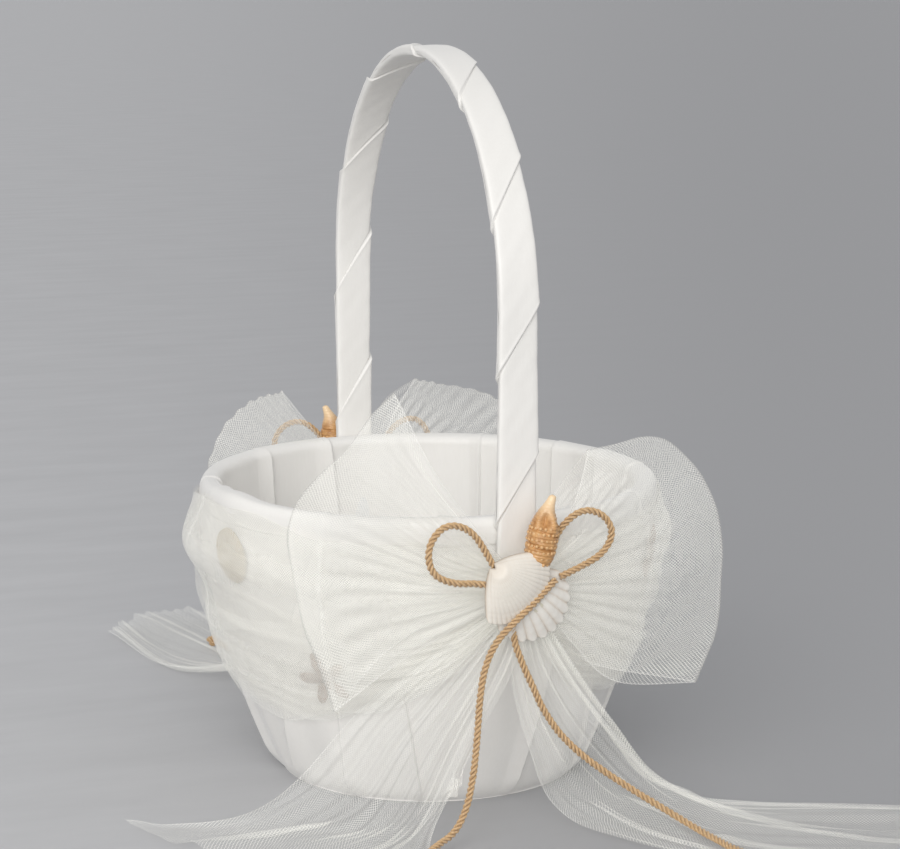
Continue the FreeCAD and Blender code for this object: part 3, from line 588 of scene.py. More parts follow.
def new_group(name, inputs, outputs):
    """A shader node group with named inputs and outputs, and its two end nodes."""
    group = bpy.data.node_groups.new(name, "ShaderNodeTree")
    for label, kind, default in inputs:
        socket(group, label, kind, "INPUT", default)
    for label, kind in outputs:
        socket(group, label, kind, "OUTPUT")
    return group, group.nodes.new("NodeGroupInput"), group.nodes.new("NodeGroupOutput")


def net_group():
    """Diamond net of tulle: Mask is 1 on a thread. It follows the cloth's own UVs, in metres."""
    group, start, end = new_group(
        "Tulle net",
        (
            ("Cell", "Float", 0.0011),
            ("Thread", "Float", 0.1),
            ("Haze", "Float", 0.03),
            ("Gather", "Float", 0.0),
        ),
        (("Mask", "Float"), ("Slub", "Float")),
    )
    uv = node(group, "UVMap", uv_map="UVMap")
    split = node(group, "SeparateXYZ")
    wire(group, uv.outputs[0], split.inputs[0])
    slub = node(group, "TexNoise", noise_dimensions="2D")
    slub.inputs["Scale"].default_value = 90.0
    wire(group, uv.outputs[0], slub.inputs["Vector"])
    drift = math_node(group, "MULTIPLY", slub.outputs["Fac"], 0.0012)
    threads = []
    for lean in (0.75, -0.75):
        tilted = math_node(group, "MULTIPLY", split.outputs[1], lean)
        along = math_node(group, "ADD", split.outputs[0], tilted)
        along = math_node(group, "ADD", along, drift)
        cells = math_node(group, "DIVIDE", along, start.outputs["Cell"])
        centred = math_node(group, "SUBTRACT", math_node(group, "FRACT", cells), 0.5)
        off = math_node(group, "ABSOLUTE", centred)
        half = math_node(group, "MULTIPLY", start.outputs["Thread"], 0.5)
        threads.append(math_node(group, "LESS_THAN", off, half))
    both = math_node(group, "MAXIMUM", *threads)
    between = math_node(group, "MAXIMUM", start.outputs["Haze"], start.outputs["Gather"])
    wire(group, math_node(group, "MAXIMUM", both, between), end.inputs["Mask"])
    wire(group, slub.outputs["Fac"], end.inputs["Slub"])
    return group


def satin_group():
    """Satin's fine slanted floats, painted darker where they sink (painted shade), with slow uneven tone.
    Height is for a bump.
    """
    group, start, end = new_group(
        "Satin threads",
        (
            ("Light", "Color", (0.8, 0.8, 0.8, 1)),
            ("Shade", "Color", (0.7, 0.7, 0.7, 1)),
            ("Scale", "Float", 900.0),
        ),
        (("Color", "Color"), ("Roughness", "Float"), ("Height", "Float")),
    )
    where = node(group, "TexCoord")
    stretch = node(group, "Mapping")
    stretch.inputs["Scale"].default_value = (1.0, 1.0, 0.16)
    stretch.inputs["Rotation"].default_value = (0.5, 0.0, 0.6)
    wire(group, where.outputs["Object"], stretch.inputs["Vector"])
    floats = node(group, "TexNoise")
    wire(group, start.outputs["Scale"], floats.inputs["Scale"])
    wire(group, stretch.outputs[0], floats.inputs["Vector"])
    floats.inputs["Detail"].default_value = 3.0
    slow = node(group, "TexNoise")
    slow.inputs["Scale"].default_value = 34.0
    slow.inputs["Detail"].default_value = 4.0
    wire(group, where.outputs["Object"], slow.inputs["Vector"])
    # Painted shade: the noise that bumps the floats also darkens the colour where they sink.
    shade = math_node(group, "MULTIPLY", floats.outputs["Fac"], 0.55)
    slow_part = math_node(group, "MULTIPLY", slow.outputs["Fac"], 0.45)
    amount = math_node(group, "ADD", shade, slow_part, clamp=True)
    wire(
        group, mix_colour(group, amount, start.outputs["Shade"], start.outputs["Light"]), end.inputs["Color"]
    )
    rough = math_node(group, "MULTIPLY", slow.outputs["Fac"], 0.16)
    wire(group, math_node(group, "ADD", rough, 0.36), end.inputs["Roughness"])
    wire(group, floats.outputs["Fac"], end.inputs["Height"])
    return group


def grain_group():
    """Uneven grain at one scale, as a mask and a mixed colour."""
    group, start, end = new_group(
        "Grain",
        (
            ("Light", "Color", (0.8, 0.8, 0.8, 1)),
            ("Dark", "Color", (0.4, 0.4, 0.4, 1)),
            ("Scale", "Float", 200.0),
            ("Stretch", "Vector", (1.0, 1.0, 1.0)),
            ("Contrast", "Float", 2.0),
        ),
        (("Color", "Color"), ("Mask", "Float")),
    )
    where = node(group, "TexCoord")
    stretched = node(group, "VectorMath", operation="MULTIPLY")
    wire(group, where.outputs["Object"], stretched.inputs[0])
    wire(group, start.outputs["Stretch"], stretched.inputs[1])
    grain = node(group, "TexNoise")
    grain.inputs["Detail"].default_value = 6.0
    grain.inputs["Roughness"].default_value = 0.62
    wire(group, start.outputs["Scale"], grain.inputs["Scale"])
    wire(group, stretched.outputs[0], grain.inputs["Vector"])
    centred = math_node(group, "SUBTRACT", grain.outputs["Fac"], 0.5)
    strong = math_node(group, "MULTIPLY", centred, start.outputs["Contrast"])
    mask = math_node(group, "ADD", strong, 0.5, clamp=True)
    wire(group, mix_colour(group, mask, start.outputs["Dark"], start.outputs["Light"]), end.inputs["Color"])
    wire(group, mask, end.inputs["Mask"])
    return group


SHARED = {"net": net_group, "satin": satin_group, "grain": grain_group}
built_groups = {}
built_materials = {}


def shared(tree, name, **values):
    """Places a shared effect in a material, with its own values."""
    if name not in built_groups:
        built_groups[name] = SHARED[name]()
    made = tree.nodes.new("ShaderNodeGroup")
    made.node_tree = built_groups[name]
    for label, value in values.items():
        target = made.inputs[label]
        target.default_value = tuple(value) + (1.0,) if target.type == "RGBA" else value
    return made


def new_material(name, **settings):
    """A material with a Principled BSDF. settings are plain values of its own sockets."""
    material = bpy.data.materials.new(name)
    material.use_nodes = True
    tree = material.node_tree
    shader = tree.nodes["Principled BSDF"]
    for label, value in settings.items():
        shader.inputs[label.replace("_", " ").title().replace("Ior", "IOR")].default_value = value
    return material, tree, shader


def bump(tree, shader, height, strength, distance):
    made = node(tree, "Bump")
    made.inputs["Strength"].default_value = strength
    made.inputs["Distance"].default_value = distance
    wire(tree, height, made.inputs["Height"])
    wire(tree, made.outputs[0], shader.inputs["Normal"])


def satin_material(name, light, shade, scale=900.0, strength=0.18):
    material, tree, shader = new_material(name, sheen_weight=0.22, sheen_roughness=0.45)
    threads = shared(tree, "satin", Light=light, Shade=shade, Scale=scale)
    wire(tree, threads.outputs["Color"], shader.inputs["Base Color"])
    wire(tree, threads.outputs["Roughness"], shader.inputs["Roughness"])
    bump(tree, shader, threads.outputs["Height"], strength, 0.00012)
    return material


def tulle_material():
    made = tulle()
    material, tree, shader = new_material("tulle net", roughness=0.55, sheen_weight=0.3)
    net = shared(tree, "net", Cell=made.cell, Thread=made.thread, Haze=made.haze)
    folded = node(tree, "Attribute", attribute_name="gather")
    wire(tree, folded.outputs["Fac"], net.inputs["Gather"])
    light = tuple(colours().tulle)
    dim = tuple(0.9 * part for part in light)
    wire(tree, mix_colour(tree, net.outputs["Slub"], dim, light), shader.inputs["Base Color"])
    wire(tree, net.outputs["Mask"], shader.inputs["Alpha"])
    # Painted light: the tulle glows faintly in its own colour, which makes it brighter and more even than the
    # lamps alone would.
    shader.inputs["Emission Color"].default_value = light + (1.0,)
    shader.inputs["Emission Strength"].default_value = 0.12
    return material


def jute_material():
    material, tree, shader = new_material("jute", roughness=0.86, sheen_weight=0.25)
    grain = shared(
        tree, "grain", Light=colours().jute_light, Dark=colours().jute_dark_and_shade, Scale=2600.0,
        Stretch=(1.0, 1.0, 0.35), Contrast=2.4,
    )
    depth = node(tree, "UVMap", uv_map="UVMap")
    split = node(tree, "SeparateXYZ")
    wire(tree, depth.outputs[0], split.inputs[0])
    # Painted shade: each strand's colour darkens to the dark jute on its inner side, towards the grooves
    # between strands.
    outer = math_node(tree, "SINE", math_node(tree, "MULTIPLY", split.outputs[1], math.pi))
    outer = math_node(tree, "POWER", outer, 1.4, clamp=True)
    shaded = mix_colour(tree, outer, colours().jute_dark_and_shade, grain.outputs["Color"])
    wire(tree, shaded, shader.inputs["Base Color"])
    bump(tree, shader, grain.outputs["Mask"], 0.5, 0.0002)
    return material


def scallop_material(name, light, ribs):
    """Growth bands follow V, from the beak to the margin, and the ribs follow U. The grooves between the ribs
    are painted darker: painted shade.
    """
    material, tree, shader = new_material(name, roughness=0.42, specular_ior_level=0.45)
    uv = node(tree, "UVMap", uv_map="UVMap")
    split = node(tree, "SeparateXYZ")
    wire(tree, uv.outputs[0], split.inputs[0])
    grain = shared(tree, "grain", Light=light, Dark=colours().scallop_bands_and_shade, Scale=420.0, Contrast=1.2)
    bands = math_node(tree, "SINE", math_node(tree, "MULTIPLY", split.outputs[1], 34.0))
    bands = math_node(tree, "POWER", math_node(tree, "ABSOLUTE", bands), 5.0)
    mottled = math_node(tree, "MULTIPLY", bands, 0.06)
    beak = math_node(tree, "SUBTRACT", 1.0, math_node(tree, "MULTIPLY", split.outputs[1], 3.2), clamp=True)
    tint = math_node(tree, "ADD", mottled, math_node(tree, "MULTIPLY", beak, 0.3), clamp=True)
    speckled = mix_colour(tree, 0.2, light, grain.outputs["Color"])
    shell = mix_colour(tree, tint, speckled, colours().scallop_bands_and_shade)
    # Painted shade: the colour darkens towards the bands' tone in the grooves between the ribs.
    wave = math_node(tree, "COSINE", math_node(tree, "MULTIPLY", split.outputs[0], 2 * math.pi * ribs))
    groove = math_node(tree, "MULTIPLY", math_node(tree, "ADD", wave, 1.0), 0.5)
    groove = math_node(tree, "MULTIPLY", math_node(tree, "POWER", groove, 3.0), 0.7)
    wire(tree, mix_colour(tree, groove, shell, colours().scallop_bands_and_shade), shader.inputs["Base Color"])
    rings = math_node(tree, "SINE", math_node(tree, "MULTIPLY", split.outputs[1], 210.0))
    height = math_node(tree, "ADD", math_node(tree, "MULTIPLY", rings, 0.12), grain.outputs["Mask"])
    bump(tree, shader, height, 0.35, 0.0002)
    return material


def spiral_material():
    material, tree, shader = new_material("spiral shell", roughness=0.33, coat_weight=0.15)
    grain = shared(
        tree, "grain", Light=colours().spiral_pale, Dark=colours().spiral, Scale=330.0, Contrast=2.2
    )
    uv = node(tree, "UVMap", uv_map="UVMap")
    split = node(tree, "SeparateXYZ")
    wire(tree, uv.outputs[0], split.inputs[0])
    canal = node(tree, "MapRange", interpolation_type="SMOOTHSTEP")
    canal.inputs["From Min"].default_value = 0.66
    canal.inputs["From Max"].default_value = 0.94
    wire(tree, split.outputs[1], canal.inputs["Value"])
    pale = mix_colour(tree, canal.outputs["Result"], grain.outputs["Color"], colours().canal)
    wire(tree, pale, shader.inputs["Base Color"])
    bump(tree, shader, grain.outputs["Mask"], 0.25, 0.0002)
    return material


def grainy_material(name, light, dark, scale, roughness, stretch=(1.0, 1.0, 1.0), contrast=2.0, depth=0.0003):
    """Dry natural surfaces: wood, sand dollar, starfish, wadding, shell beads and glue."""
    material, tree, shader = new_material(name, roughness=roughness)
    grain = shared(
        tree, "grain", Light=light, Dark=dark, Scale=scale, Stretch=stretch, Contrast=contrast
    )
    wire(tree, grain.outputs["Color"], shader.inputs["Base Color"])
    bump(tree, shader, grain.outputs["Mask"], 0.4, depth)
    return material


def steel_material():
    material, tree, shader = new_material("tack steel", metallic=1.0)
    grain = shared(tree, "grain", Light=(0.75,) * 3, Dark=(0.5,) * 3, Scale=900.0)
    wire(tree, grain.outputs["Color"], shader.inputs["Base Color"])
    rough = math_node(tree, "MULTIPLY", grain.outputs["Mask"], 0.3)
    wire(tree, math_node(tree, "ADD", rough, 0.2), shader.inputs["Roughness"])
    return material


def darker(light, share):
    return tuple(share * part for part in light)


MATERIALS = {
    "cover satin": lambda: satin_material("cover satin", colours().satin, colours().satin_painted_shade_and_tone),
    "lining satin": lambda: satin_material("lining satin", colours().satin, colours().satin_painted_shade_and_tone, 800.0),
    "ribbon satin": lambda: satin_material(
        "ribbon satin", colours().satin, colours().satin_painted_shade_and_tone, 1200.0, 0.12
    ),
    "tulle": tulle_material,
    "jute": jute_material,
    "cream scallop": lambda: scallop_material("cream scallop", colours().scallop_cream, RIBS["upper"]),
    "white scallop": lambda: scallop_material("white scallop", colours().scallop_white, RIBS["lower"]),
    "spiral shell": spiral_material,
    "shell bead": lambda: grainy_material(
        "shell bead", colours().bead, darker(colours().bead, 0.7), 700.0, 0.4
    ),
    "sand dollar": lambda: grainy_material(
        "sand dollar", colours().dollar, darker(colours().dollar, 0.7), 900.0, 0.9
    ),
    "starfish": lambda: grainy_material(
        "starfish", colours().starfish, darker(colours().starfish, 0.55), 1100.0, 0.88, contrast=3.0
    ),
    "wood": lambda: grainy_material(
        "wood", colours().wood, darker(colours().wood, 0.55), 260.0, 0.75, (1.0, 1.0, 0.12)
    ),
    "wadding": lambda: grainy_material("wadding", (0.85, 0.85, 0.84), (0.7, 0.7, 0.69), 500.0, 0.95),
    "glue": lambda: grainy_material("glue", (0.74, 0.71, 0.6), (0.6, 0.56, 0.44), 180.0, 0.25),
    "steel": steel_material,
}


def material(name):
    if name not in built_materials:
        built_materials[name] = MATERIALS[name]()
    return built_materials[name]


# The bowl


def wall_radius(height, gap=0.0):
    """Radius of the wall's side curve at a height, less a layer's gap."""
    made = bowl()
    reach = made.curve_radius - gap
    return np.sqrt(reach**2 - (height - made.curve_height) ** 2) - made.curve_inset


def turn_difference(angle, direction):
    return (angle - direction + math.pi) % (2 * math.pi) - math.pi


def pleat_relief(angle, height, pleats, low, high):
    """How far folded pleats stand out: sharp at one edge and drawn down to nothing at the other."""
    share = (height - low) / (high - low)
    total = np.zeros(np.broadcast(angle, height).shape)
    for degrees, lean, width, edge in pleats:
        direction = math.radians(degrees) + math.radians(lean) * share
        across = turn_difference(angle, direction) * 0.09 * edge / width
        fold = eased(across / 0.08) * np.clip(1.0 - across, 0.0, 1.0) ** 1.3
        crease = -0.30 * np.exp(-((across + 0.05) / 0.06) ** 2)
        total = np.maximum(total, fold) + crease
    return total


def revolved(name, radius, height, angles, u_scale, v, flip=False):
    """A sheet turned about Z from radii and heights on a grid of profile by direction."""
    points = np.stack([radius * np.cos(angles), radius * np.sin(angles), height], axis=2)
    steps = angles.shape[1]
    u = np.linspace(0.0, 2 * math.pi * u_scale, steps + 1)[None, :]
    columns = v.shape[1] if v.ndim == 2 else 1
    v_rows = np.broadcast_to(v.reshape(len(v), columns)[:, :1], (len(v), steps + 1))
    return sheet_mesh(name, points, u, v_rows, around=True, flip=flip)


def ring_angles(steps):
    return np.linspace(0.0, 2 * math.pi, steps, endpoint=False)[None, :]


def cover():
    """Outer satin: drawn under the foot, folded into pleats and tucked below the rolled rim."""
    top = 0.1215
    heights = np.concatenate([np.linspace(0.0004, 0.010, 16), np.linspace(0.0115, top, 70)])[:, None]
    angles = ring_angles(1200)
    drawn_in = np.clip((0.010 - heights) / 0.010, 0.0, 1.0)
    radius = wall_radius(heights) - 0.0020 * drawn_in**3 + 0 * angles
    rng = np.random.default_rng(3)
    share = (heights / top) + 0 * angles
    turns = angles / (2 * math.pi) + 0 * heights
    relief = pleat_relief(angles, heights, COVER_PLEATS, 0.0, top) * bowl().pleat_height
    lift = (0.25 + 0.75 * eased(heights / 0.010)) * (1 - eased((heights - 0.112) / 0.009))
    radius = radius + relief * lift
    radius += 0.00035 * lift * sum(
        np.sin(2 * math.pi * (count * turns + 0.4 * share) + rng.uniform(0, 6.28)) for count in (7, 13, 22)
    )
    height_grid = heights + 0 * angles
    grid = revolved("cover_satin", radius, height_grid, angles + 0 * heights, 0.09, heights, flip=True)
    return place(grid, "satin_cover", material("cover satin"), "satin_cover")


def lining():
    """Padded satin inside the bowl, rolled over the rim and down to the cover."""
    made = bowl()
    top = RIM_HIGH.z
    crest = RIM_HIGH.x - made.rim_outside
    spring = top - made.rim_drop
    inner = [(wall_radius(h, made.lining_gap), h) for h in np.linspace(0.0085, spring, 46)]
    inside = crest - inner[-1][0]
    roll = [
        (crest - inside * math.cos(t) ** 0.8, spring + made.rim_drop * math.sin(t) ** 0.65)
        for t in np.linspace(0.04, math.pi / 2, 20)
    ]
    shoulder = [
        (crest + made.rim_outside * math.sin(t), top - made.roll_radius * (1 - math.cos(t)))
        for t in np.linspace(0.12, math.pi / 2, 14)
    ]
    edge = top - made.roll_radius
    skirt = [(wall_radius(h) + 0.0003, h) for h in np.linspace(edge - 0.0012, 0.1178, 6)]
    tucked = [(wall_radius(0.1175) - 0.0006, 0.1172)]
    profile = np.array(inner + roll + shoulder + skirt + tucked)
    steps = np.linalg.norm(np.diff(profile, axis=0), axis=1)
    along = np.concatenate([[0.0], np.cumsum(steps)])[:, None]
    slope = np.gradient(profile, axis=0)
    outward = np.stack([-slope[:, 1], slope[:, 0]], axis=1)
    outward /= np.linalg.norm(outward, axis=1, keepdims=True)
    angles = ring_angles(1100)
    turns = angles / (2 * math.pi)
    share = along / along[-1]
    relief = pleat_relief(angles, profile[:, 1:2], LINING_PLEATS, 0.0, 0.13) * made.fold_height
    fade = eased(share / 0.12) * (1 - 0.85 * eased((share - 0.80) / 0.12))
    rng = np.random.default_rng(11)
    soft = sum(
        amount * np.sin(2 * math.pi * (count * turns + lean * share) + rng.uniform(0, 6.28))
        for count, lean, amount in ((5, 0.5, 0.0006), (11, -0.7, 0.0004), (19, 0.4, 0.00022))
    )
    on_roll = np.exp(-((share - 0.86) / 0.10) ** 2)
    puff = 0.0018 * on_roll * np.exp(-((turn_difference(angles, math.radians(-168))) / 0.16) ** 2)
    lift = (relief + soft) * fade + puff
    radius = profile[:, :1] + outward[:, :1] * lift
    height = profile[:, 1:2] + outward[:, 1:2] * lift
    grid = revolved("lining_satin", radius, height, angles + 0 * share, 0.09, along)
    return place(grid, "satin_lining", material("lining satin"), "satin_lining")


def wadding_ring(name, reach, height, radius, replaced):
    """The soft roll of wadding under the rim's satin, a little lumpy."""
    rng = np.random.default_rng(17)
    around = np.linspace(0.0, 2 * math.pi, 18, endpoint=False)[:, None]
    angles = ring_angles(240)
    lumps = radius * (1 + 0.05 * ripples(rng, angles / 6.2832, around / 6.2832, ((6, 20), (1, 3))))
    rows = np.concatenate([around, around[:1]])
    lumps = np.concatenate([lumps, lumps[:1]])
    ring = revolved(
        name, reach + lumps * np.cos(rows), height + lumps * np.sin(rows), angles + 0 * rows, reach,
        rows * radius
    )
    place(ring, "wadding", material("wadding"), replaced)
    return ring


def wall_wadding():
    """The layer of wadding between the uprights and the lining."""
    rng = np.random.default_rng(19)
    low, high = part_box("wall_padding")[0].z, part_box("wall_padding")[1].z
    heights = np.linspace(low + 0.001, high - 0.001, 30)
    outer = [(wall_radius(h, 0.0047), h) for h in heights]
    inner = [(wall_radius(h, 0.0081), h) for h in heights[::-1]]
    profile = np.array(outer + inner + outer[:1])
    angles = ring_angles(200)
    lumps = 0.00025 * ripples(rng, angles / 6.2832, profile[:, 1:2] * 8, ((5, 18), (0.5, 3)))
    lumps[-1] = lumps[0]
    grid = revolved(
        "wall_wadding", profile[:, :1] + lumps, profile[:, 1:2] + 0 * angles, angles + 0 * lumps, 0.09,
        profile[:, 1:2],
    )
    place(grid, "wadding", material("wadding"), "wall_padding")
    return grid


def disc_grid(name, reach, height, sides, rings):
    """A round sheet with an even centre: reach and height are functions of share and angle."""
    share = np.linspace(0.0, 1.0, rings)[:, None]
    share = np.maximum(share, 1e-4)
    angles = ring_angles(sides)
    radius = reach(share, angles)
    points = np.stack(
        [radius * np.cos(angles), radius * np.sin(angles), height(share, angles) + 0 * angles], axis=2
    )
    u = np.linspace(0.0, 1.0, sides + 1)[None, :]
    return points, sheet_mesh(name, points, u, np.broadcast_to(share, (rings, sides + 1)), around=True)


def bottom_cushion():
    """Satin pad in the bottom of the bowl, crowned, with small gathers round its edge."""
    reach = PAD_HIGH.x
    thickness = PAD_HIGH.z - PAD_LOW.z
    rng = np.random.default_rng(23)
    gathers = rng.uniform(0.6, 1.4, 9)

    def edge(share, angles):
        return reach * np.minimum(share * 1.22, 1.0) * (1 - 0.02 * eased((share - 0.9) / 0.1)) + 0 * angles

    def crown(share, angles):
        flat = np.minimum(share * 1.22, 1.0)
        top = PAD_LOW.z + thickness * np.sqrt(np.clip(1 - flat**6, 0, 1)) * 1.05
        sunk = -0.0011 * eased((share - 0.55) / 0.25) * sum(
            weight * np.sin((19 + 7 * index) * angles + index) ** 2
            for index, weight in enumerate(gathers[:4])
        ) / 4
        under = -thickness * 0.4 * eased((share - 0.82) / 0.18)
        return top + sunk + np.where(share > 0.82, under, 0.0)

    _, pad = disc_grid("bottom_cushion", edge, crown, 260, 44)
    place(pad, "satin_lining", material("lining satin"), "bottom_pad")
    return pad


# The handle's ribbon


def handle_line(count):
    """Centre of the strip from one foot over the top to the other, as (y, z)."""
    made = bpy.context.scene.basket_handle
    foot = np.array([STRIP_HIGH.y, STRIP_LOW.z])
    foot[0] = wall_radius(STRIP_LOW.z) + 0.0027
    bend = np.array([made.bend_spread, made.bend_height])
    top = np.array([made.spread, STRIP_HIGH.z - 0.0012])
    half = [foot, bend, top]
    corners = [np.array([-y, z]) for y, z in half] + half[::-1]
    radii = (made.leg_bend, made.bend, made.bend, made.leg_bend)
    line = [corners[0]]
    for before, corner, after, radius in zip(corners, corners[1:], corners[2:], radii):
        back, ahead = before - corner, after - corner
        back, ahead = back / np.linalg.norm(back), ahead / np.linalg.norm(ahead)
        half_turn = (math.pi - math.acos(np.clip(back @ ahead, -1, 1))) / 2
        middle = (back + ahead) / np.linalg.norm(back + ahead)
        centre = corner + middle * radius / math.cos(half_turn)
        for t in np.linspace(-half_turn, half_turn, 60):
            side = (ahead - back) / np.linalg.norm(ahead - back)
            line.append(centre - middle * radius * math.cos(t) + side * radius * math.sin(t))
    line.append(corners[-1])
    line = np.array(line)
    along = np.concatenate([[0.0], np.cumsum(np.linalg.norm(np.diff(line, axis=0), axis=1))])
    even = np.linspace(0.0, along[-1], count)
    return np.stack([np.interp(even, along, line[:, i]) for i in (0, 1)], axis=1), along[-1]


def ribbon_spiral():
    """Satin ribbon wound round the strip. Its mesh lines run with the ribbon, so that each
    overlapping edge is one clean step."""
    made = bpy.context.scene.basket_handle
    centre, length = handle_line(3000)
    sides = 72
    rows_per_turn = 66
    turns = int(length / made.pitch) + 3
    phase_steps = np.concatenate([[0.0, 0.006, 0.014], np.linspace(0.03, 0.985, rows_per_turn)])
    phase = (np.arange(-1, turns)[:, None] + phase_steps[None, :]).ravel()[:, None]
    within = (phase - np.floor(phase + 1e-9))
    w = np.linspace(0.0, 1.0, sides + 1)[None, :]
    along = np.clip((phase + w - 0.21) * made.pitch, 0.0, length)
    place_on = along / length * (len(centre) - 1)
    y = np.interp(place_on, np.arange(len(centre)), centre[:, 0])
    z = np.interp(place_on, np.arange(len(centre)), centre[:, 1])
    tangent = np.gradient(centre, axis=0)
    tangent /= np.linalg.norm(tangent, axis=1, keepdims=True)
    ty = np.interp(place_on, np.arange(len(centre)), tangent[:, 0])
    tz = np.interp(place_on, np.arange(len(centre)), tangent[:, 1])
    normal_y, normal_z = -tz, ty
    theta = math.pi - 2 * math.pi * w
    # a rounded flat section, walked evenly round its rim
    even = np.linspace(0.0, 2 * math.pi, 2000)
    section = np.stack(
        [
            made.half_width * np.sign(np.cos(even)) * np.abs(np.cos(even)) ** 0.3,
            made.half_depth * np.sign(np.sin(even)) * np.abs(np.sin(even)) ** 0.5,
        ],
        axis=1,
    )
    run = np.concatenate([[0.0], np.cumsum(np.linalg.norm(np.diff(section, axis=0), axis=1))])
    at = (theta % (2 * math.pi)) / (2 * math.pi) * run[-1]
    x = np.interp(at, run, section[:, 0])
    n = np.interp(at, run, section[:, 1])
    turn_number = (np.floor(phase + 1e-9) + 1).astype(int)
    sawtooth = np.where(within < 0.003, -0.35, 1.0 - within)
    sawtooth = np.where((within >= 0.003) & (within < 0.010), 0.75, sawtooth)
    wrinkle = 0.0
    rng = np.random.default_rng(29)
    for amount, along_turn, across_turn in ((0.00005, 1.3, 0.7), (0.00003, 3.1, -0.9), (0.00002, 6.0, 1.6)):
        start = rng.uniform(0.0, 2 * math.pi, turns + 2)[turn_number]
        lean = across_turn * rng.uniform(0.6, 1.4, turns + 2)[turn_number]
        wrinkle = wrinkle + amount * np.sin(2 * math.pi * (within * along_turn + lean * w) + start)
    edge_lift = 0.00016 * np.exp(-((within - 0.012) / 0.02) ** 2) * (within > 0.003)
    lift = made.step * sawtooth + wrinkle + edge_lift
    scale_x = 1.0 + lift / made.half_width
    points = np.stack(
        [
            x * scale_x,
            y + normal_y * (n + np.sign(n) * lift * np.minimum(np.abs(n) / made.half_depth * 2, 1)),
            z + normal_z * (n + np.sign(n) * lift * np.minimum(np.abs(n) / made.half_depth * 2, 1)),
        ],
        axis=2,
    )
    ribbon = sheet_mesh("ribbon_spiral", points, w * run[-1], along, flip=True)
    return place(ribbon, "satin_ribbon", material("ribbon satin"), "handle_ribbon_wrap")


# Tulle


def take_up(points, part, phase):
    """Folds that run along a strip. Each line across it takes up that part of the cut width that its
    drawn-in shape leaves over, so the gathers hold the cloth that they would hold."""
    across = np.linspace(0.0, 1.0, points.shape[1])[None, :]
    uneven = 0.3 * np.sin(2 * math.pi * 1.3 * across + phase)
    wave = np.sin(2 * math.pi * (tulle().gathers * across + uneven))
    wave = wave * (0.8 + 0.2 * np.sin(2 * math.pi * 2.7 * across + 2 * phase))
    push = grid_normals(points) * wave[:, :, None]

    def lengths(lines):
        return np.linalg.norm(np.diff(lines, axis=1), axis=2).sum(axis=1)

    drawn_in = lengths(points)
    wanted = drawn_in + part * np.maximum(tulle().ribbon - drawn_in, 0.0)
    low, high = np.zeros(len(points)), np.full(len(points), tulle().deepest)
    for _ in range(16):
        depth = (low + high) / 2
        longer = lengths(points + push * depth[:, None, None]) > wanted
        low, high = np.where(longer, low, depth), np.where(longer, depth, high)
    return points + push * low[:, None, None]


def set_gather(piece, points, width, crests=0.0, hem=0.45, base=0.0, fold_row=None):
    """How closely a sheet's folded layers and hems cover what lies behind them. A row of cloth drawn
    narrower than its cut width has that many more layers."""
    one_layer = 1 - (1 - tulle().thread) ** 2
    across = np.linalg.norm(np.diff(points, axis=1), axis=2).sum(axis=1)[:, None]
    layers = np.maximum(width / across - 1.0, 0.0)
    cover = 1 - (1 - one_layer) ** layers
    cover = cover * (0.7 + 0.9 * np.clip(crests, 0.0, 1.0)) + base + np.zeros(points.shape[:2])
    cover[:, [0, -1]] = np.maximum(cover[:, [0, -1]], hem)
    if fold_row is not None:
        cover[fold_row] = np.maximum(cover[fold_row], 0.30)
    layer = piece.data.attributes.new("gather", "FLOAT", "POINT")
    layer.data.foreach_set("value", np.clip(cover, 0.0, 0.92).astype(np.float32).ravel())


def ribbon_uv(points, width):
    """UVs of a gathered ribbon: its full width everywhere, and mean distance along it."""
    rows, columns = points.shape[:2]
    down = np.linalg.norm(np.diff(points, axis=0), axis=2).mean(axis=1)
    v = np.concatenate([[0.0], np.cumsum(down)])[:, None]
    return np.broadcast_to(np.linspace(0.0, width, columns)[None, :], (rows, columns)), v


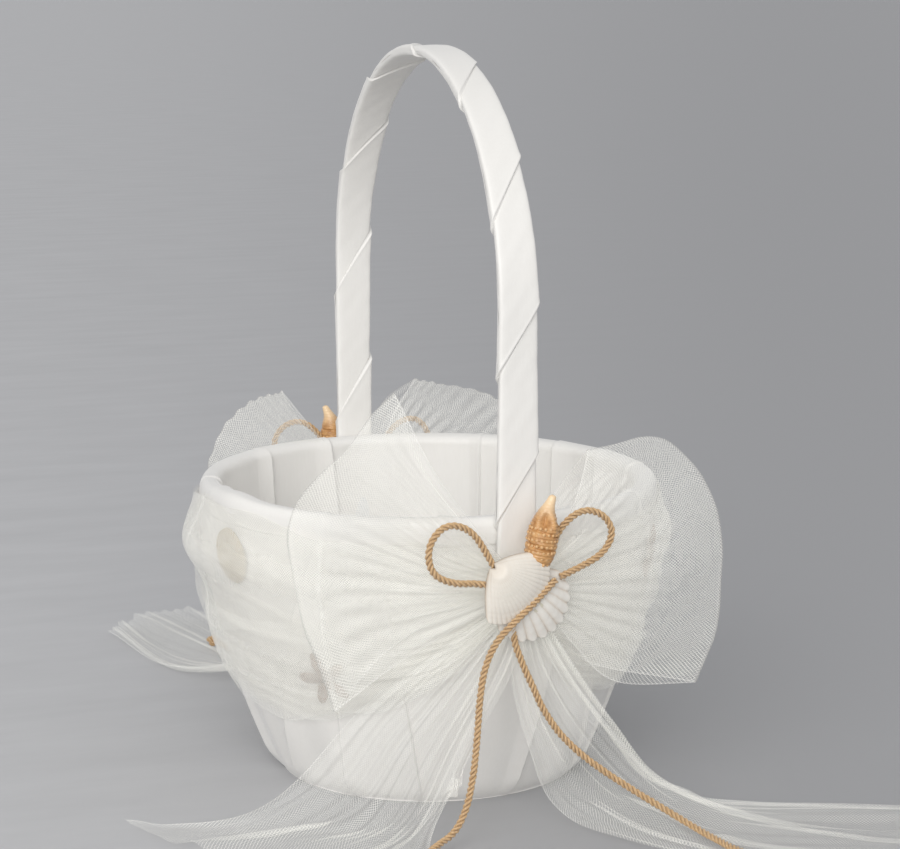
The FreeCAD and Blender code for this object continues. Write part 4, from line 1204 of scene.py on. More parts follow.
def tulle_band(name, top, bottom, swell, seed, cover, rise=0.0, puff=0.0, replaced=()):
    """Gathered tulle round the bowl, drawn together at the two knots."""
    rng = np.random.default_rng(seed)
    angles = ring_angles(720)
    off_knot = np.degrees(np.abs(turn_difference(2 * angles, math.pi)) / 2)
    to_knot = np.exp(-off_knot / 17.0)
    share = np.linspace(0.0, 1.0, 90)[:, None]
    knot_height = 0.103
    wander = 0.0025 * np.sin(5 * angles + seed) + 0.0018 * np.sin(11 * angles + 2 * seed)
    to_left = turn_difference(2 * angles, math.radians(2 * -178)) / 2
    lifted = np.exp(-((to_left / 0.6) ** 2))
    high = top + 0.6 * wander + rise * lifted - (top - knot_height - 0.004) * np.exp(-off_knot / 7.0)
    low = bottom - 0.8 * wander + (knot_height - 0.006 - bottom) * to_knot
    heights = low + (high - low) * share
    middle = np.sin(math.pi * np.clip((heights - 0.030) / (0.122 - 0.030), 0, 1)) ** 0.8
    radius = wall_radius(np.clip(heights, 0.004, 0.127)) + 0.0012 + swell * middle
    radius = radius + puff * lifted * np.exp(-(((heights - 0.104) / 0.012) ** 2))
    turns = angles / (2 * math.pi)
    gathered = np.exp(-off_knot / 13.0)
    pleats = np.sin(2 * math.pi * (6.5 * share + 0.6)) * 0.0022 + np.sin(2 * math.pi * 11 * share) * 0.0011
    loose = 0.0010 * ripples(rng, turns, share, ((2, 8), (1.0, 3.0)), 7)
    fine = 0.0002 * ripples(rng, turns, share, ((8, 26), (2, 9)), 7)
    radius = radius + pleats * gathered + (loose + fine) * (1 - 0.6 * gathered)
    radius = np.maximum(radius, wall_radius(np.clip(heights, 0.004, 0.127)) + 0.0009)
    near_leg = np.exp(-((off_knot / 6.2) ** 4))
    radius = radius + (0.1058 - wall_radius(0.103) - 0.0012) * near_leg * 0.86
    points = np.stack([radius * np.cos(angles), radius * np.sin(angles), heights], axis=2)
    u = np.linspace(0.0, 2 * math.pi * 0.105, points.shape[1] + 1)[None, :]
    v = (heights.max() - heights.min()) * share * 1.1
    band = sheet_mesh(name, points, u, np.broadcast_to(v, (len(v), points.shape[1] + 1)), around=True)
    place(band, "tulle", material("tulle"), *replaced)
    crests = 0.5 + 0.5 * np.sin(2 * math.pi * (6.5 * share + 0.6)) + 0 * angles
    set_gather(band, points.transpose(1, 0, 2), top - bottom, crests.T, 0.4, cover)
    return band


def tulle_loop(side, hand):
    """One loop of a bow: the near layer runs out from the knot to a soft fold, and the far layer
    returns. Gathers run from the knot and die away."""
    rng = np.random.default_rng(tulle().seed + 10 * (side == "back") + 3 * (hand == "right"))
    steps, lines = 61, 150
    net = spread(spread(LOOP_SHAPES[side][hand], lines, 0), steps, 1)
    out = np.linspace(0.0, 1.0, steps)[None, :]
    across = np.linspace(0.0, 1.0, lines)[:, None]
    x, z = net[:, :, 0], net[:, :, 1]
    near_y = -0.1108 - 0.0030 * np.sin(math.pi * out**0.8) + 0.011 * out**2.5 + 0 * across
    shrink = 1 - 0.06 * np.sin(math.pi * out) * (1 if hand == "left" else 1.4)
    far_y = -0.1080 + 0.015 * np.sin(math.pi * out**1.1) + 0.0082 * out**2.5 + 0 * across
    middle = 0.104
    near = np.stack([x, near_y, z], axis=2)
    far = np.stack([x * shrink, far_y, middle + (z - middle) * shrink], axis=2)
    points = np.concatenate([near, far[:, -2::-1]], axis=1)
    out = np.concatenate([out, out[:, -2::-1]], axis=1)
    layer_phase = np.concatenate([np.zeros(steps), np.full(steps - 1, 1.3)])[None, :]
    gathers = sum(
        size * np.sin(2 * math.pi * (count * across + 0.18 * out) + phase + layer_phase)
        for size, count, phase in zip((1.0, 0.6, 0.3), (2.2, 4.6, 8.4), rng.uniform(0, 6.28, 3))
    )
    depth = 0.0007 * np.exp(-out / 0.35) * eased(out / 0.12) + 0.0003
    sway = 0.0017 * ripples(rng, across + 0 * out, out, ((0.5, 1.6), (0.2, 0.6)), 4) * eased(out / 0.5)
    points = points + grid_normals(points) * (gathers * depth)[:, :, None]
    points[:, :, 1] += sway
    lines_out = points.transpose(1, 0, 2)
    points = take_up(lines_out, tulle().loop_gather, rng.uniform(0, 6.28)).transpose(1, 0, 2)
    points[:, :, 1] = np.maximum(points[:, :, 1], -0.1156)
    edge = 0.0016 * ripples(rng, across + 0 * out, out, ((1.0, 2.6), (0.1, 0.4)), 4) * out**2
    points[:, :, 0] += edge * (-1 if hand == "left" else 1)
    points = to_side(points, side).transpose(1, 0, 2)
    u, v = ribbon_uv(points, tulle().ribbon)
    loop = sheet_mesh(f"{side}_loop_{hand}_tulle", points, u, v)
    place(loop, "tulle", material("tulle"), f"{side}_bow_loop_{hand}")
    set_gather(loop, points, tulle().ribbon, gathers.T * 0.25, 0.40, fold_row=steps - 1)
    return loop


def under_cords(points, side):
    """Keeps a tail's cloth behind the bow's cords where they hang, and below them on the floor."""
    cords = np.concatenate([route_points(CORD_TAILS[side][hand]) for hand in ("left", "right")])
    flat = points.reshape(-1, 3).copy()
    clear = 0.0026
    for depth, planar, away in ((1, (0, 2), 1.0), (2, (0, 1), -1.0)):
        rows = flat[:, 2] > 0.012 if depth == 1 else flat[:, 2] < 0.030
        gaps = np.linalg.norm(flat[rows][:, None, planar] - cords[None, :, planar], axis=2)
        nearest = gaps.argmin(axis=1)
        weight = 1 - eased((gaps.min(axis=1) - 0.0028) / 0.004)
        wanted = cords[nearest, depth] + away * clear
        short = np.maximum(away * (wanted - flat[rows, depth]), 0.0)
        flat[rows, depth] += away * short * weight
    return flat.reshape(points.shape)


def tulle_tail(side, hand):
    """One tail of a bow: gathered at the knot, falling in soft folds, then lying on the floor."""
    rng = np.random.default_rng(tulle().seed + 31 + 10 * (side == "back") + 3 * (hand == "right"))
    rows, columns = 150, 150
    net = spread(spread(TAIL_SHAPES[side][hand], columns, 0), rows, 1)
    points = net.transpose(1, 0, 2).copy()
    down = np.linspace(0.0, 1.0, rows)[:, None]
    across = np.linspace(0.0, 1.0, columns)[None, :]
    folds = sum(
        size * np.sin(2 * math.pi * (count * across + bend * down) + phase)
        for size, count, bend, phase in zip(
            (1.0, 0.6, 0.35), (1.7, 3.6, 6.4), (0.30, -0.25, 0.4), rng.uniform(0, 6.28, 3)
        )
    )
    falling = 1 - eased((down - 0.52) / 0.16)
    depth = (0.0005 + 0.0016 * eased(down / 0.4)) * eased(down / 0.1) * falling
    normals = grid_normals(points)
    upward = np.sign(normals[:, :, 1:2].mean()) or 1.0
    points += -upward * normals * (folds * depth)[:, :, None]
    lying = eased((down - 0.5) / 0.18)
    ridges = np.abs(folds) ** 1.5 * 0.0016 + 0.0010 * ripples(
        rng, across + 0 * down, down, ((1, 3), (1, 3)), 5
    )
    edge = eased((down - 0.93) / 0.07) * 0.0022 * (0.5 + 0.5 * np.sin(9 * across + 1.7))
    points[:, :, 2] += lying * (ridges + edge)
    points = take_up(points, tulle().tail_gather, rng.uniform(0, 6.28))
    hangs = points[:, :, 2] > 0.045
    points[:, :, 1] = np.where(hangs, np.maximum(points[:, :, 1], -0.1156), points[:, :, 1])
    points = under_cords(points, side)
    points[:, :, 2] = np.maximum(points[:, :, 2], 0.0006)
    points = to_side(points, side)
    u, v = ribbon_uv(points, tulle().ribbon)
    tail = sheet_mesh(f"{side}_tail_{hand}_tulle", points, u, v)
    place(tail, "tulle", material("tulle"), f"{side}_bow_tail_{hand}")
    set_gather(tail, points, tulle().ribbon, folds * 0.3, 0.32)
    return tail


def tulle_knot(side):
    """The bow's gathered middle: a tight band of tulle with folds that run round it."""
    low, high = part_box(f"{side}_bow_knot")
    centre, half = (low + high) / 2, (high - low) / 2
    around = np.linspace(0.0, 2 * math.pi, 96, endpoint=False)[None, :]
    along = np.linspace(-0.98, 0.98, 40)[:, None]
    bulge = np.sqrt(1 - along**2) ** 0.7
    folds = 1 + 0.10 * np.sin(7 * along * math.pi + 2 * np.sin(around)) + 0.05 * np.sin(15 * along + around)
    points = np.stack(
        [
            centre.x + half.x * along + 0 * around,
            centre.y + half.y * bulge * folds * np.cos(around),
            centre.z + half.z * bulge * folds * np.sin(around),
        ],
        axis=2,
    )
    u = np.linspace(0.0, 0.05, 97)[None, :]
    knot = sheet_mesh(
        f"{side}_knot_tulle", points, u, np.broadcast_to((along + 1) * 0.05, (40, 97)), around=True
    )
    set_gather(knot, points, tulle().ribbon, base=0.6)
    return place(knot, "tulle", material("tulle"), f"{side}_bow_knot")


# Jute cord


def route_points(corners):
    """Points along the smooth line of a cord's route."""
    curve = bpy.data.curves.new("route", "CURVE")
    curve.dimensions = "3D"
    curve.resolution_u = 24
    spline = curve.splines.new("NURBS")
    spline.points.add(len(corners) - 1)
    for point, corner in zip(spline.points, corners):
        point.co = (*corner, 1.0)
    spline.order_u = 3
    spline.use_endpoint_u = True
    holder = bpy.data.objects.new("route", curve)
    mesh = bpy.data.meshes.new_from_object(holder)
    points = np.array([vertex.co for vertex in mesh.vertices])
    bpy.data.meshes.remove(mesh)
    bpy.data.objects.remove(holder)
    bpy.data.curves.remove(curve)
    return points


def evenly(points, step):
    along = np.concatenate([[0.0], np.cumsum(np.linalg.norm(np.diff(points, axis=0), axis=1))])
    even = np.linspace(0.0, along[-1], max(8, int(along[-1] / step)))
    return np.stack([np.interp(even, along, points[:, i]) for i in range(3)], axis=1), even


def carried_frames(points):
    """A normal and a binormal at each point of a line, carried along it without twist."""
    tangents = np.gradient(points, axis=0)
    tangents /= np.linalg.norm(tangents, axis=1, keepdims=True)
    normal = np.cross(tangents[0], (0.0, 0.0, 1.0))
    if np.linalg.norm(normal) < 0.1:
        normal = np.cross(tangents[0], (1.0, 0.0, 0.0))
    normals = []
    for tangent in tangents:
        normal = normal - tangent * (normal @ tangent)
        normal = normal / np.linalg.norm(normal)
        normals.append(normal)
    normals = np.array(normals)
    return tangents, normals, np.cross(tangents, normals)


def rope(name, line, rng, fibre_share=1.0):
    """Three twisted strands along a line, with loose fibres. V runs round a strand."""
    made = bpy.context.scene.basket_cord
    points, along = evenly(line, 0.00055)
    tangents, normals, binormals = carried_frames(points)
    strand = made.diameter / (2 * (1 + 2 / math.sqrt(3)))
    reach = strand * 2 / math.sqrt(3)
    verts, faces, uvs = [], [], []
    sides = 9
    ring = np.linspace(0.0, 2 * math.pi, sides, endpoint=False)
    for index in range(3):
        turn = 2 * math.pi * (along / made.lay + index / 3)
        aim = normals * np.cos(turn)[:, None] + binormals * np.sin(turn)[:, None]
        slack = 1 + 0.07 * np.sin(along * 900 + index * 2.1) + 0.04 * np.sin(along * 2300 + index)
        centres = points + aim * (reach * (0.97 + 0.05 * np.sin(along * 500 + index)))[:, None]
        side_way = np.cross(tangents, aim)
        around = (
            aim[:, None, :] * np.cos(ring)[None, :, None] + side_way[:, None, :] * np.sin(ring)[None, :, None]
        )
        tube = centres[:, None, :] + around * (strand * slack)[:, None, None] * 1.06
        start = len(verts)
        verts.extend(tube.reshape(-1, 3).tolist())
        quads, corners = sheet_faces(len(points), sides, around=True, start=start)
        faces.extend(quads.tolist())
        v_of = 0.5 + 0.5 * np.cos(np.linspace(0.0, 2 * math.pi, sides + 1))
        grid_uv = [np.stack([along[r], 0.5 * v_of[c]], axis=1) for r, c in corners]
        uvs.append(np.stack(grid_uv, axis=1).reshape(-1, 2))
        for end, order in ((0, -1), (len(points) - 1, 1)):
            faces.append([start + end * sides + i for i in range(sides)][::order])
            uvs.append(np.tile([along[end], 0.3], (sides, 1)))
    count = int(along[-1] * made.fibres * fibre_share)
    for _ in range(count):
        i = rng.integers(2, len(points) - 2)
        angle = rng.uniform(0, 2 * math.pi)
        out = normals[i] * math.cos(angle) + binormals[i] * math.sin(angle)
        lean = tangents[i] * rng.choice((-1.0, 1.0))
        length = rng.uniform(0.0012, 0.0034)
        root = points[i] + out * made.diameter * 0.42
        mid = root + out * length * 0.22 + lean * length * 0.5
        tip = root + out * min(length * 0.42, 0.0011) + lean * length
        width = np.cross(lean, out) * 0.00006
        start = len(verts)
        verts.extend([(root - width).tolist(), (root + width).tolist(), (mid + width * 0.8).tolist(),
                      (mid - width * 0.8).tolist(), tip.tolist()])
        faces.append([start, start + 1, start + 2, start + 3])
        faces.append([start + 3, start + 2, start + 4])
        uvs.append(np.tile([along[i], 0.45], (7, 1)))
    made_rope = new_mesh(name, verts, faces, np.concatenate(uvs))
    return made_rope, points


def trefoil(centre, radius, turn):
    """The line of an overhand knot pulled small."""
    t = np.linspace(0.0, 2 * math.pi, 90)
    knot = np.stack(
        [np.sin(t) + 2 * np.sin(2 * t), np.cos(t) - 2 * np.cos(2 * t), -1.1 * np.sin(3 * t)], axis=1
    )
    knot = knot * radius / 3.2
    rotation = np.array(turn.to_matrix())
    return knot @ rotation.T + np.array(centre)


def end_knot(side, hand):
    low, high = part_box(f"{side}_cord_end_{hand}")
    centre = (low + high) / 2
    rng = np.random.default_rng(41)
    turn = Matrix.Rotation(0.5, 3, "X").to_quaternion()
    line = trefoil(centre, (high.x - low.x) * 0.34, turn)
    line[:, 2] = np.maximum(line[:, 2], 0.0018)
    knot, _ = rope(f"{side}_knot_{hand}_jute", line, rng, 3.0)
    return place(knot, "jute", material("jute"), f"{side}_cord_end_{hand}")


def cord_knot(side):
    """The cord's own knot, behind the shells."""
    low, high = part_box(f"{side}_cord_knot")
    centre = (low + high) / 2
    rng = np.random.default_rng(43)
    line = trefoil(centre, 0.0062, Matrix.Rotation(math.pi / 2, 3, "X").to_quaternion())
    line[:, 1] = centre.y + (line[:, 1] - centre.y) * 0.5
    knot, _ = rope(f"{side}_bow_knot_jute", line, rng)
    return place(knot, "jute", material("jute"), f"{side}_cord_knot")


def jute_cord(side, kind, hand, corners):
    """A loop or a tail of the cord bow."""
    rng = np.random.default_rng(len(corners) * 7 + (hand == "right") + 2 * (side == "back"))
    name = f"{side}_cord_{kind}_{hand}"
    piece, points = rope(name + "_jute", route_points(to_side(corners, side)), rng)
    place(piece, "jute", material("jute"), name)
    return piece


# Shells


def fan_reach(angle, length, radius):
    """Distance from a scallop's beak to its margin."""
    offset = length - radius
    inside = np.maximum(radius**2 - (offset * np.sin(angle)) ** 2, 0.0)
    return offset * np.cos(angle) + np.sqrt(inside)


def scallop(side, which, slot_name, finish, rib_height, zigzag):
    """A ribbed scallop, domed like the frame's shell and drawn in to its beak."""
    made = bpy.context.scene.basket_shells
    half_angle, beak, lean, rise = SCALLOPS[which]
    (length, radius, depth), ribs = getattr(made, which), RIBS[which]
    limit = math.radians(half_angle)
    sides, rings = ribs * 12 + 1, 60
    angle = np.linspace(-limit, limit, sides)[None, :]
    out = np.linspace(0.03, 1.0, rings)[:, None] ** 0.9
    wave = np.cos(math.pi * ribs * angle / limit)
    rib = 2 * np.abs(np.cos(math.pi * ribs * angle / limit / 2)) ** 0.8 - 1
    reach = fan_reach(angle, length, radius) * out * (1 + zigzag * wave * out**3)
    ball = (radius**2 + depth**2) / (2 * depth)
    off_centre = np.hypot(reach * np.cos(angle) - (length - radius), reach * np.sin(angle))
    dome = np.sqrt(np.maximum(ball**2 - off_centre**2, 0.0)) - (ball - depth)
    fanned = angle * (1 + 0.38 * (1 - out) ** 1.5)
    at_side = np.cos(angle / limit * math.pi / 2) ** 0.35
    dome = np.maximum(dome, 0.0) * at_side * eased(out / 0.18) ** 0.5
    growth = 0.00004 * np.sin(out * 46) * out + 0.0001 * eased((out - 0.6) / 0.03) * (out < 0.8)
    height = 0.0004 + dome + rib_height * rib * out**0.8 * at_side + growth
    local = np.stack([reach * np.cos(fanned), reach * np.sin(fanned), height], axis=2)
    lean = math.radians(lean)
    along = np.array([math.cos(lean), 0.0, math.sin(lean)])
    across = np.array([-math.sin(lean), 0.0, math.cos(lean)])
    rotation = np.stack([along, across, np.array([0.0, -1.0, 0.0])], axis=1)
    tilted = np.array(Matrix.Rotation(math.radians(-rise), 3, "Y"))
    points = to_side((local @ tilted.T) @ rotation.T + np.array(beak), side)
    u = np.linspace(0.0, 1.0, sides)[None, :]
    shell = sheet_mesh(f"{side}_{which}_shell", points, u, out)
    thicken = shell.modifiers.new("wall", "SOLIDIFY")
    thicken.thickness = 0.0009
    return place(shell, slot_name, material(finish), f"{side}_{which}_scallop")


def lump_mesh(centre, radius, sides=8, rings=5):
    """A small rounded bead as points and faces."""
    verts, faces = [], []
    for ring in range(rings + 1):
        polar = math.pi * ring / rings
        for step in range(sides):
            turn = 2 * math.pi * step / sides
            verts.append(
                (
                    centre[0] + radius * math.sin(polar) * math.cos(turn),
                    centre[1] + radius * math.sin(polar) * math.sin(turn),
                    centre[2] + radius * math.cos(polar),
                )
            )
    for ring in range(rings):
        for step in range(sides):
            beside = (step + 1) % sides
            faces.append((
                ring * sides + step, ring * sides + beside,
                (ring + 1) * sides + beside, (ring + 1) * sides + step,
            ))
    return verts, faces


def spiral_shell(side):
    """A spindle-shaped shell: a short beaded spire below, a smooth body and a canal above."""
    made = bpy.context.scene.basket_shells
    rows, sides = 170, 84
    up = np.linspace(0.0, 1.0, rows)[:, None]
    stations, widths = zip(*SPIRAL_WIDTHS)
    padded = np.interp(np.linspace(-0.04, 1.04, rows + 16), stations, widths)
    radius = np.convolve(padded, np.ones(17) / 17, mode="valid")[:, None] * made.spiral_radius
    radius = (
        radius * np.minimum(1.0, np.sqrt(np.clip(up / 0.03, 0.05, 1)))
        * np.sqrt(np.clip((1 - up) / 0.02, 0.05, 1))
    )
    turn = np.linspace(0.0, 2 * math.pi, sides, endpoint=False)[None, :]
    whorl = (up * 5.2 + turn / (2 * math.pi)) % 1.0
    body = 1 - eased((up - 0.62) / 0.12)
    groove = 1 - 0.14 * np.exp(-((whorl - 0.5) / 0.09) ** 2) * body
    cut = 1 + 0.022 * np.sin(up * 150 + turn)
    lip = 1 + 0.22 * np.exp(-((turn - 5.0) / 0.35) ** 2) * np.exp(-((up - 0.66) / 0.12) ** 2)
    mouth = 1 - 0.50 * np.exp(-((turn - 4.3) / 0.38) ** 2) * np.exp(-((up - 0.68) / 0.10) ** 4)
    radius = radius * groove * cut * lip * mouth
    bend = 0.0014 * eased((up - 0.78) / 0.22)
    local = np.stack(
        [radius * np.cos(turn) + bend, radius * np.sin(turn), made.spiral * up + 0 * turn], axis=2
    )
    lean = np.array(Matrix.Rotation(math.radians(10.0), 3, "Y"))

    def stand(points):
        return to_side(points @ lean.T + np.array(SPIRAL_BASE), side)

    u = np.linspace(0.0, 1.0, sides + 1)[None, :]
    shell = sheet_mesh(
        f"{side}_spiral", stand(local), u, np.broadcast_to(up, (rows, sides + 1)), around=True
    )
    place(shell, "spiral_shell", material("spiral shell"), f"{side}_spiral_shell")
    verts, faces = [], []
    rng = np.random.default_rng(5)
    for index, row in enumerate(SPIRAL_BEADS):
        width = float(np.interp(row, stations, widths)) * made.spiral_radius
        count = int(2 * math.pi * width / 0.0021)
        for step in range(count):
            angle = 2 * math.pi * (step + 0.5 * (index % 2)) / count
            lift = row + 0.05 * angle / (2 * math.pi) - 0.025
            size = rng.uniform(0.00068, 0.00086)
            sunk = width * 0.93
            centre = (sunk * math.cos(angle), sunk * math.sin(angle), made.spiral * lift)
            bead, quads = lump_mesh(centre, size)
            start = len(verts)
            verts.extend(bead)
            faces.extend(tuple(start + corner for corner in quad) for quad in quads)
    beads = new_mesh(f"{side}_spiral_beads", stand(np.array(verts)).tolist(), faces)
    place(beads, "spiral_shell", material("shell bead"))
    return shell


def wall_place(direction, height, lift):
    """Axes and place of a piece that lies on the wall: across, up and outwards."""
    made = bowl()
    angle = math.radians(direction)
    rise = height - made.curve_height
    run = math.sqrt(made.curve_radius**2 - rise**2)
    outward = np.array([run * math.cos(angle), run * math.sin(angle), rise])
    outward /= np.linalg.norm(outward)
    across = np.array([-math.sin(angle), math.cos(angle), 0.0])
    radius = float(wall_radius(height))
    origin = np.array([radius * math.cos(angle), radius * math.sin(angle), height]) + outward * lift
    return np.stack([across, np.cross(outward, across), outward], axis=1), origin


def lay_on_wall(name, points, direction, height, spin, u_count, slot_name, finish, replaced):
    axes, origin = wall_place(direction, height, 0.0004)
    turn = np.array(Matrix.Rotation(math.radians(spin), 3, "Z"))
    made = (points @ turn.T) @ axes.T + origin
    u = np.linspace(0.0, 1.0, u_count + 1)[None, :]
    v = np.linspace(0.0, 1.0, len(points))[:, None]
    piece = sheet_mesh(name, made, u, np.broadcast_to(v, (len(points), u_count + 1)), around=True)
    return place(piece, slot_name, material(finish), replaced)


def sand_dollar(node_name, direction, height, spin):
    """A flat round test with five petals of fine pores."""
    radius, thickness = 0.0120, 0.0022
    share = np.maximum(np.linspace(0.0, 1.0, 46), 1e-3)[:, None]
    turn = ring_angles(200)
    petal = np.cos(2.5 * turn) ** 2
    outline = np.exp(-((share - 0.12 - 0.44 * petal) / 0.05) ** 2) * (share < 0.62)
    pores = 0.5 + 0.5 * np.sin(share * 90)
    flat = np.minimum(share * 1.12, 1.0)
    z = thickness * (1 - flat**8) ** 0.5 * (0.85 + 0.15 * (1 - flat**2)) - 0.00035 * outline * pores
    reach = radius * flat * (1 + 0.012 * np.cos(5 * turn))
    points = np.stack([reach * np.cos(turn), reach * np.sin(turn), z + 0 * turn], axis=2)
    name = node_name + "_test"
    return lay_on_wall(name, points, direction, height, spin, 200, "sand_dollar", "sand dollar", node_name)


def starfish(node_name, direction, height, spin):
    """Five rounded arms, ridged along the middle and covered with small grains."""
    tip, waist, thickness = 0.0124, 0.0046, 0.0024
    rng = np.random.default_rng(9)
    share = np.maximum(np.linspace(0.0, 1.0, 30), 1e-3)[:, None]
    turn = ring_angles(250)
    arm = np.abs(np.cos(2.5 * (turn - math.pi / 2))) ** 2.6
    reach = waist + (tip - waist) * arm
    z = thickness * (1 - share**3) ** 0.6 * (0.55 + 0.45 * arm * (1 - 0.35 * share))
    grains = 0.00016 * ripples(rng, turn / 6.2832 * 30, share * 8, ((0.6, 2.0), (0.6, 2.0)), 9)
    points = np.stack([reach * share * np.cos(turn), reach * share * np.sin(turn), z + grains], axis=2)
    name = node_name + "_skin"
    return lay_on_wall(name, points, direction, height, spin, 250, "starfish", "starfish", node_name)


# Operators


class BASKET_OT_bowl(bpy.types.Operator):
    """Make the satin cover, the lining, the wadding and the bottom cushion"""

    bl_idname = "basket.bowl"
    bl_label = "Satin bowl"

    def execute(self, context):
        cover()
        lining()
        ring_low, ring_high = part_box("rim_padding")
        thick = (ring_high.z - ring_low.z) / 2
        wadding_ring(
            "rim_wadding", ring_high.x - thick, (ring_high.z + ring_low.z) / 2, thick * 0.94, "rim_padding"
        )
        wall_wadding()
        bottom_cushion()
        return {"FINISHED"}


class BASKET_OT_handle(bpy.types.Operator):
    """Wind the satin ribbon round the handle"""

    bl_idname = "basket.handle"
    bl_label = "Handle ribbon"

    def execute(self, context):
        ribbon_spiral()
        return {"FINISHED"}


class BASKET_OT_band(bpy.types.Operator):
    """Wrap the tulle band round the bowl, over its sand dollars and starfish"""

    bl_idname = "basket.band"
    bl_label = "Tulle band"

    def execute(self, context):
        made = context.scene.basket_tulle
        tulle_band(
            "band_tulle_long", BAND_HIGH.z, BAND_LOW.z, 0.0046, 3, 0.26, made.rise, made.puff, ("tulle_wrap",)
        )
        tulle_band("band_tulle_short", BAND_HIGH.z - 0.001, 0.072, 0.0055, 5, 0.06, made.rise, made.puff)
        tulle_band("band_tulle_low", 0.080, BAND_LOW.z + 0.002, 0.0052, 8, 0.17)
        for side, turn in (("front", 0.0), ("back", 180.0)):
            sand_dollar(f"sand_dollar_{side}", -167.0 + turn, 0.104, 12.0)
            starfish(f"starfish_low_{side}", -139.0 + turn, 0.057, 20.0)
            starfish(f"starfish_high_{side}", -33.0 + turn, 0.098, 50.0)
        return {"FINISHED"}


class BASKET_OT_bows(bpy.types.Operator):
    """Tie the two tulle bows"""

    bl_idname = "basket.bows"
    bl_label = "Tulle bows"

    def execute(self, context):
        for side in SIDES:
            tulle_knot(side)
            for hand in ("left", "right"):
                tulle_loop(side, hand)
                tulle_tail(side, hand)
        return {"FINISHED"}


class BASKET_OT_cords(bpy.types.Operator):
    """Tie the two jute cord bows"""

    bl_idname = "basket.cords"
    bl_label = "Jute cords"

    def execute(self, context):
        for side in SIDES:
            cord_knot(side)
            for hand in ("left", "right"):
                end_knot(side, hand)
                jute_cord(side, "loop", hand, CORD_LOOPS[hand])
                jute_cord(side, "tail", hand, CORD_TAILS[side][hand])
        return {"FINISHED"}


class BASKET_OT_shells(bpy.types.Operator):
    """Set the scallops and the spiral shells on the bows"""

    bl_idname = "basket.shells"
    bl_label = "Shells"

    def execute(self, context):
        for side in SIDES:
            scallop(side, "upper", "scallop_cream", "cream scallop", 0.00062, 0.012)
            scallop(side, "lower", "scallop_white", "white scallop", 0.00060, 0.028)
            spiral_shell(side)
        return {"FINISHED"}


class BASKET_OT_frame_finish(bpy.types.Operator):
    """Give the frame's own wood, steel, card and glue their finishes"""

    bl_idname = "basket.frame_finish"
    bl_label = "Frame finishes"

    def execute(self, context):
        finishes = {
            "wood": (
                "base_board", "upright_staves", "inner_rim_hoop", "outer_rim_hoop", "middle_band",
                "handle_strip",
            ),
            "steel": ("handle_tacks",),
            "cover satin": ("base_cover_disc",),
            "glue": ("front_shell_glue", "back_shell_glue"),
        }
        for finish, names in finishes.items():
            for name in names:
                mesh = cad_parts[name].data
                mesh.materials.clear()
                mesh.materials.append(material(finish))
        return {"FINISHED"}


class BASKET_OT_stage(bpy.types.Operator):
    """Set the camera, the lights and the floor"""

    bl_idname = "basket.stage"
    bl_label = "Stage"

    def execute(self, context):
        make_camera(context.scene)
        make_lights(context.scene)
        if context.scene.basket_stage.show_floor:
            make_floor()
        return {"FINISHED"}


def make_camera(scene):
    stage = scene.basket_stage
    camera_data = bpy.data.cameras.new("camera")
    camera_data.lens = stage.lens
    camera_data.sensor_width = 36.0
    camera_data.clip_end = 300.0
    camera = bpy.data.objects.new("camera", camera_data)
    scene.collection.objects.link(camera)
    place_at = Vector(
        (
            math.sin(stage.direction) * stage.distance,
            -math.cos(stage.direction) * stage.distance,
            stage.height,
        )
    )
    camera.location = place_at
    heading = stage.direction - stage.turn
    camera.rotation_euler = (math.pi / 2 - stage.pitch, 0.0, heading)
    scene.camera = camera


def area_light(scene, name, location, size, power, tint, target=(0.0, 0.0, 0.12)):
    light_data = bpy.data.lights.new(name, "AREA")
    light_data.shape = "RECTANGLE"
    light_data.size, light_data.size_y = size
    light_data.energy = power
    light_data.color = tint
    light = bpy.data.objects.new(name, light_data)
    light.location = location
    light.rotation_euler = (Vector(target) - Vector(location)).to_track_quat("-Z", "Y").to_euler()
    scene.collection.objects.link(light)


def make_lights(scene):
    stage = scene.basket_stage
    world = bpy.data.worlds.new("even light")
    world.use_nodes = True
    background = world.node_tree.nodes["Background"]
    background.inputs["Color"].default_value = (0.97, 0.98, 1.0, 1.0)
    background.inputs["Strength"].default_value = stage.ambient
    scene.world = world
    area_light(scene, "key", (-0.95, -0.95, 0.8), (0.8, 0.8), stage.key, (1.0, 0.99, 0.97), (-0.4, -0.4, 0.0))
    window = bpy.data.lights.new("window", "SUN")
    window.energy = stage.sun
    window.angle = math.radians(50.0)
    window.color = (1.0, 0.995, 0.985)
    window_place = bpy.data.objects.new("window", window)
    window_place.rotation_euler = Vector((0.40, 0.88, -0.38)).to_track_quat("-Z", "Y").to_euler()
    scene.collection.objects.link(window_place)
    scene.view_settings.view_transform = "Standard"
    scene.view_settings.exposure = stage.exposure
    scene.cycles.transparent_max_bounces = 32


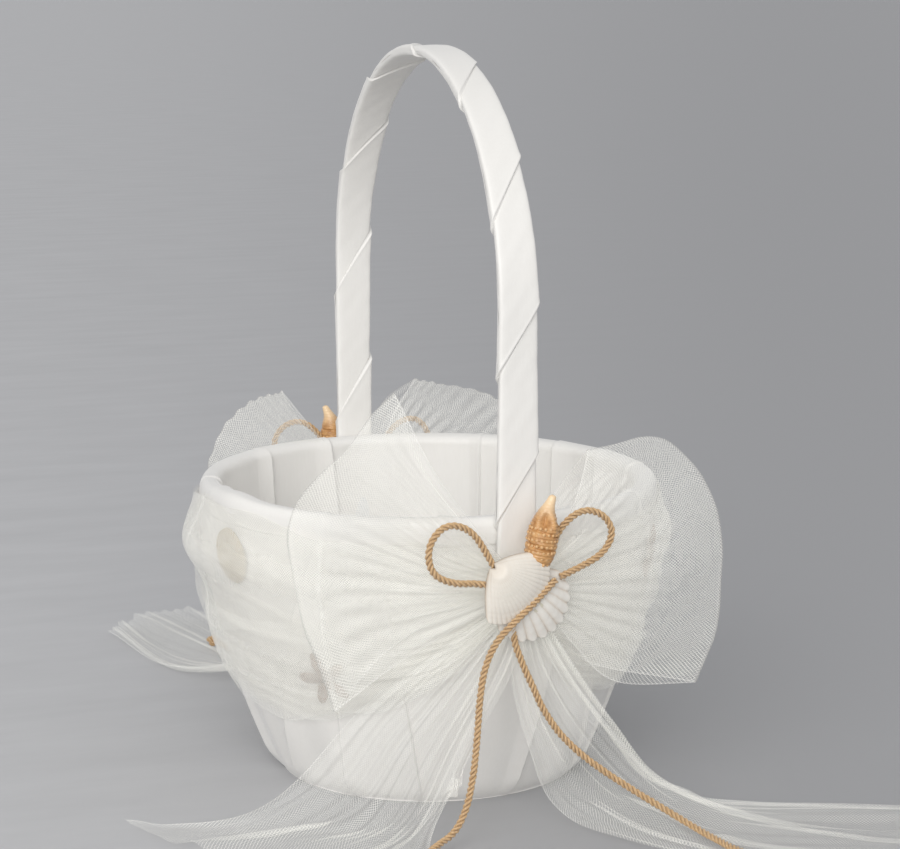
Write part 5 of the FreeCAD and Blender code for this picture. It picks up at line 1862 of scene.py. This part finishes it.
def make_floor():
    """A wide plain floor with a faint mottle. Its colour is painted darker from the lit side to the shaded
    side: painted shade.
    """
    stage = bpy.context.scene.basket_stage
    reach = 60.0
    corners = [(-reach, -reach, 0.0), (reach, -reach, 0.0), (reach, reach, 0.0), (-reach, reach, 0.0)]
    floor = new_mesh("floor", corners, [(0, 1, 2, 3)], smooth=False)
    made, tree, shader = new_material("floor", roughness=0.9)
    lit = shared(
        tree, "grain", Light=colours().floor, Dark=darker(colours().floor, 0.90), Scale=34.0,
        Stretch=(0.25, 1.0, 1.0),
    )
    # Painted shade: the floor's colour blends to its shaded tone towards the camera's right.
    stand = (math.sin(stage.direction) * stage.distance, -math.cos(stage.direction) * stage.distance, 0.0)
    where = node(tree, "TexCoord")
    from_stand = node(tree, "VectorMath", operation="SUBTRACT")
    from_stand.inputs[1].default_value = stand
    wire(tree, where.outputs["Object"], from_stand.inputs[0])
    heading = node(tree, "VectorMath", operation="NORMALIZE")
    wire(tree, from_stand.outputs[0], heading.inputs[0])
    rightward = node(tree, "VectorMath", operation="DOT_PRODUCT")
    rightward.inputs[1].default_value = (math.cos(stage.direction), math.sin(stage.direction), 0.0)
    wire(tree, heading.outputs[0], rightward.inputs[0])
    share = node(tree, "MapRange", interpolation_type="SMOOTHSTEP")
    share.inputs["From Min"].default_value = -0.20
    share.inputs["From Max"].default_value = 0.16
    wire(tree, rightward.outputs["Value"], share.inputs["Value"])
    toned = mix_colour(tree, share.outputs["Result"], lit.outputs["Color"], colours().floor_painted_shade)
    wire(tree, toned, shader.inputs["Base Color"])
    floor.data.materials.append(made)


OPERATORS = (
    BASKET_OT_stage,
    BASKET_OT_cords,
    BASKET_OT_frame_finish,
    BASKET_OT_bowl,
    BASKET_OT_handle,
    BASKET_OT_band,
    BASKET_OT_bows,
    BASKET_OT_shells,
)


class BASKET_PT_panel(bpy.types.Panel):
    """Steps and sizes of the basket"""

    bl_label = "Flower girl basket"
    bl_idname = "BASKET_PT_panel"
    bl_space_type = "VIEW_3D"
    bl_region_type = "UI"
    bl_category = "Basket"

    def draw(self, context):
        for operator in OPERATORS:
            self.layout.operator(operator.bl_idname)
        for name, group in GROUPS.items():
            column = self.layout.column(align=True)
            column.label(text=group.__doc__)
            for field in group.__annotations__:
                column.prop(getattr(context.scene, name), field)


def register():
    for name, group in GROUPS.items():
        bpy.utils.register_class(group)
        setattr(bpy.types.Scene, name, PointerProperty(type=group))
    for operator in OPERATORS:
        bpy.utils.register_class(operator)
    bpy.utils.register_class(BASKET_PT_panel)


def unregister():
    bpy.utils.unregister_class(BASKET_PT_panel)
    for operator in reversed(OPERATORS):
        bpy.utils.unregister_class(operator)
    for name, group in GROUPS.items():
        delattr(bpy.types.Scene, name)
        bpy.utils.unregister_class(group)


def main():
    register()
    for operator in OPERATORS:
        family, step = operator.bl_idname.split(".")
        getattr(getattr(bpy.ops, family), step)()
    bpy.context.view_layer.update()


if __name__ == "__main__":
    main()
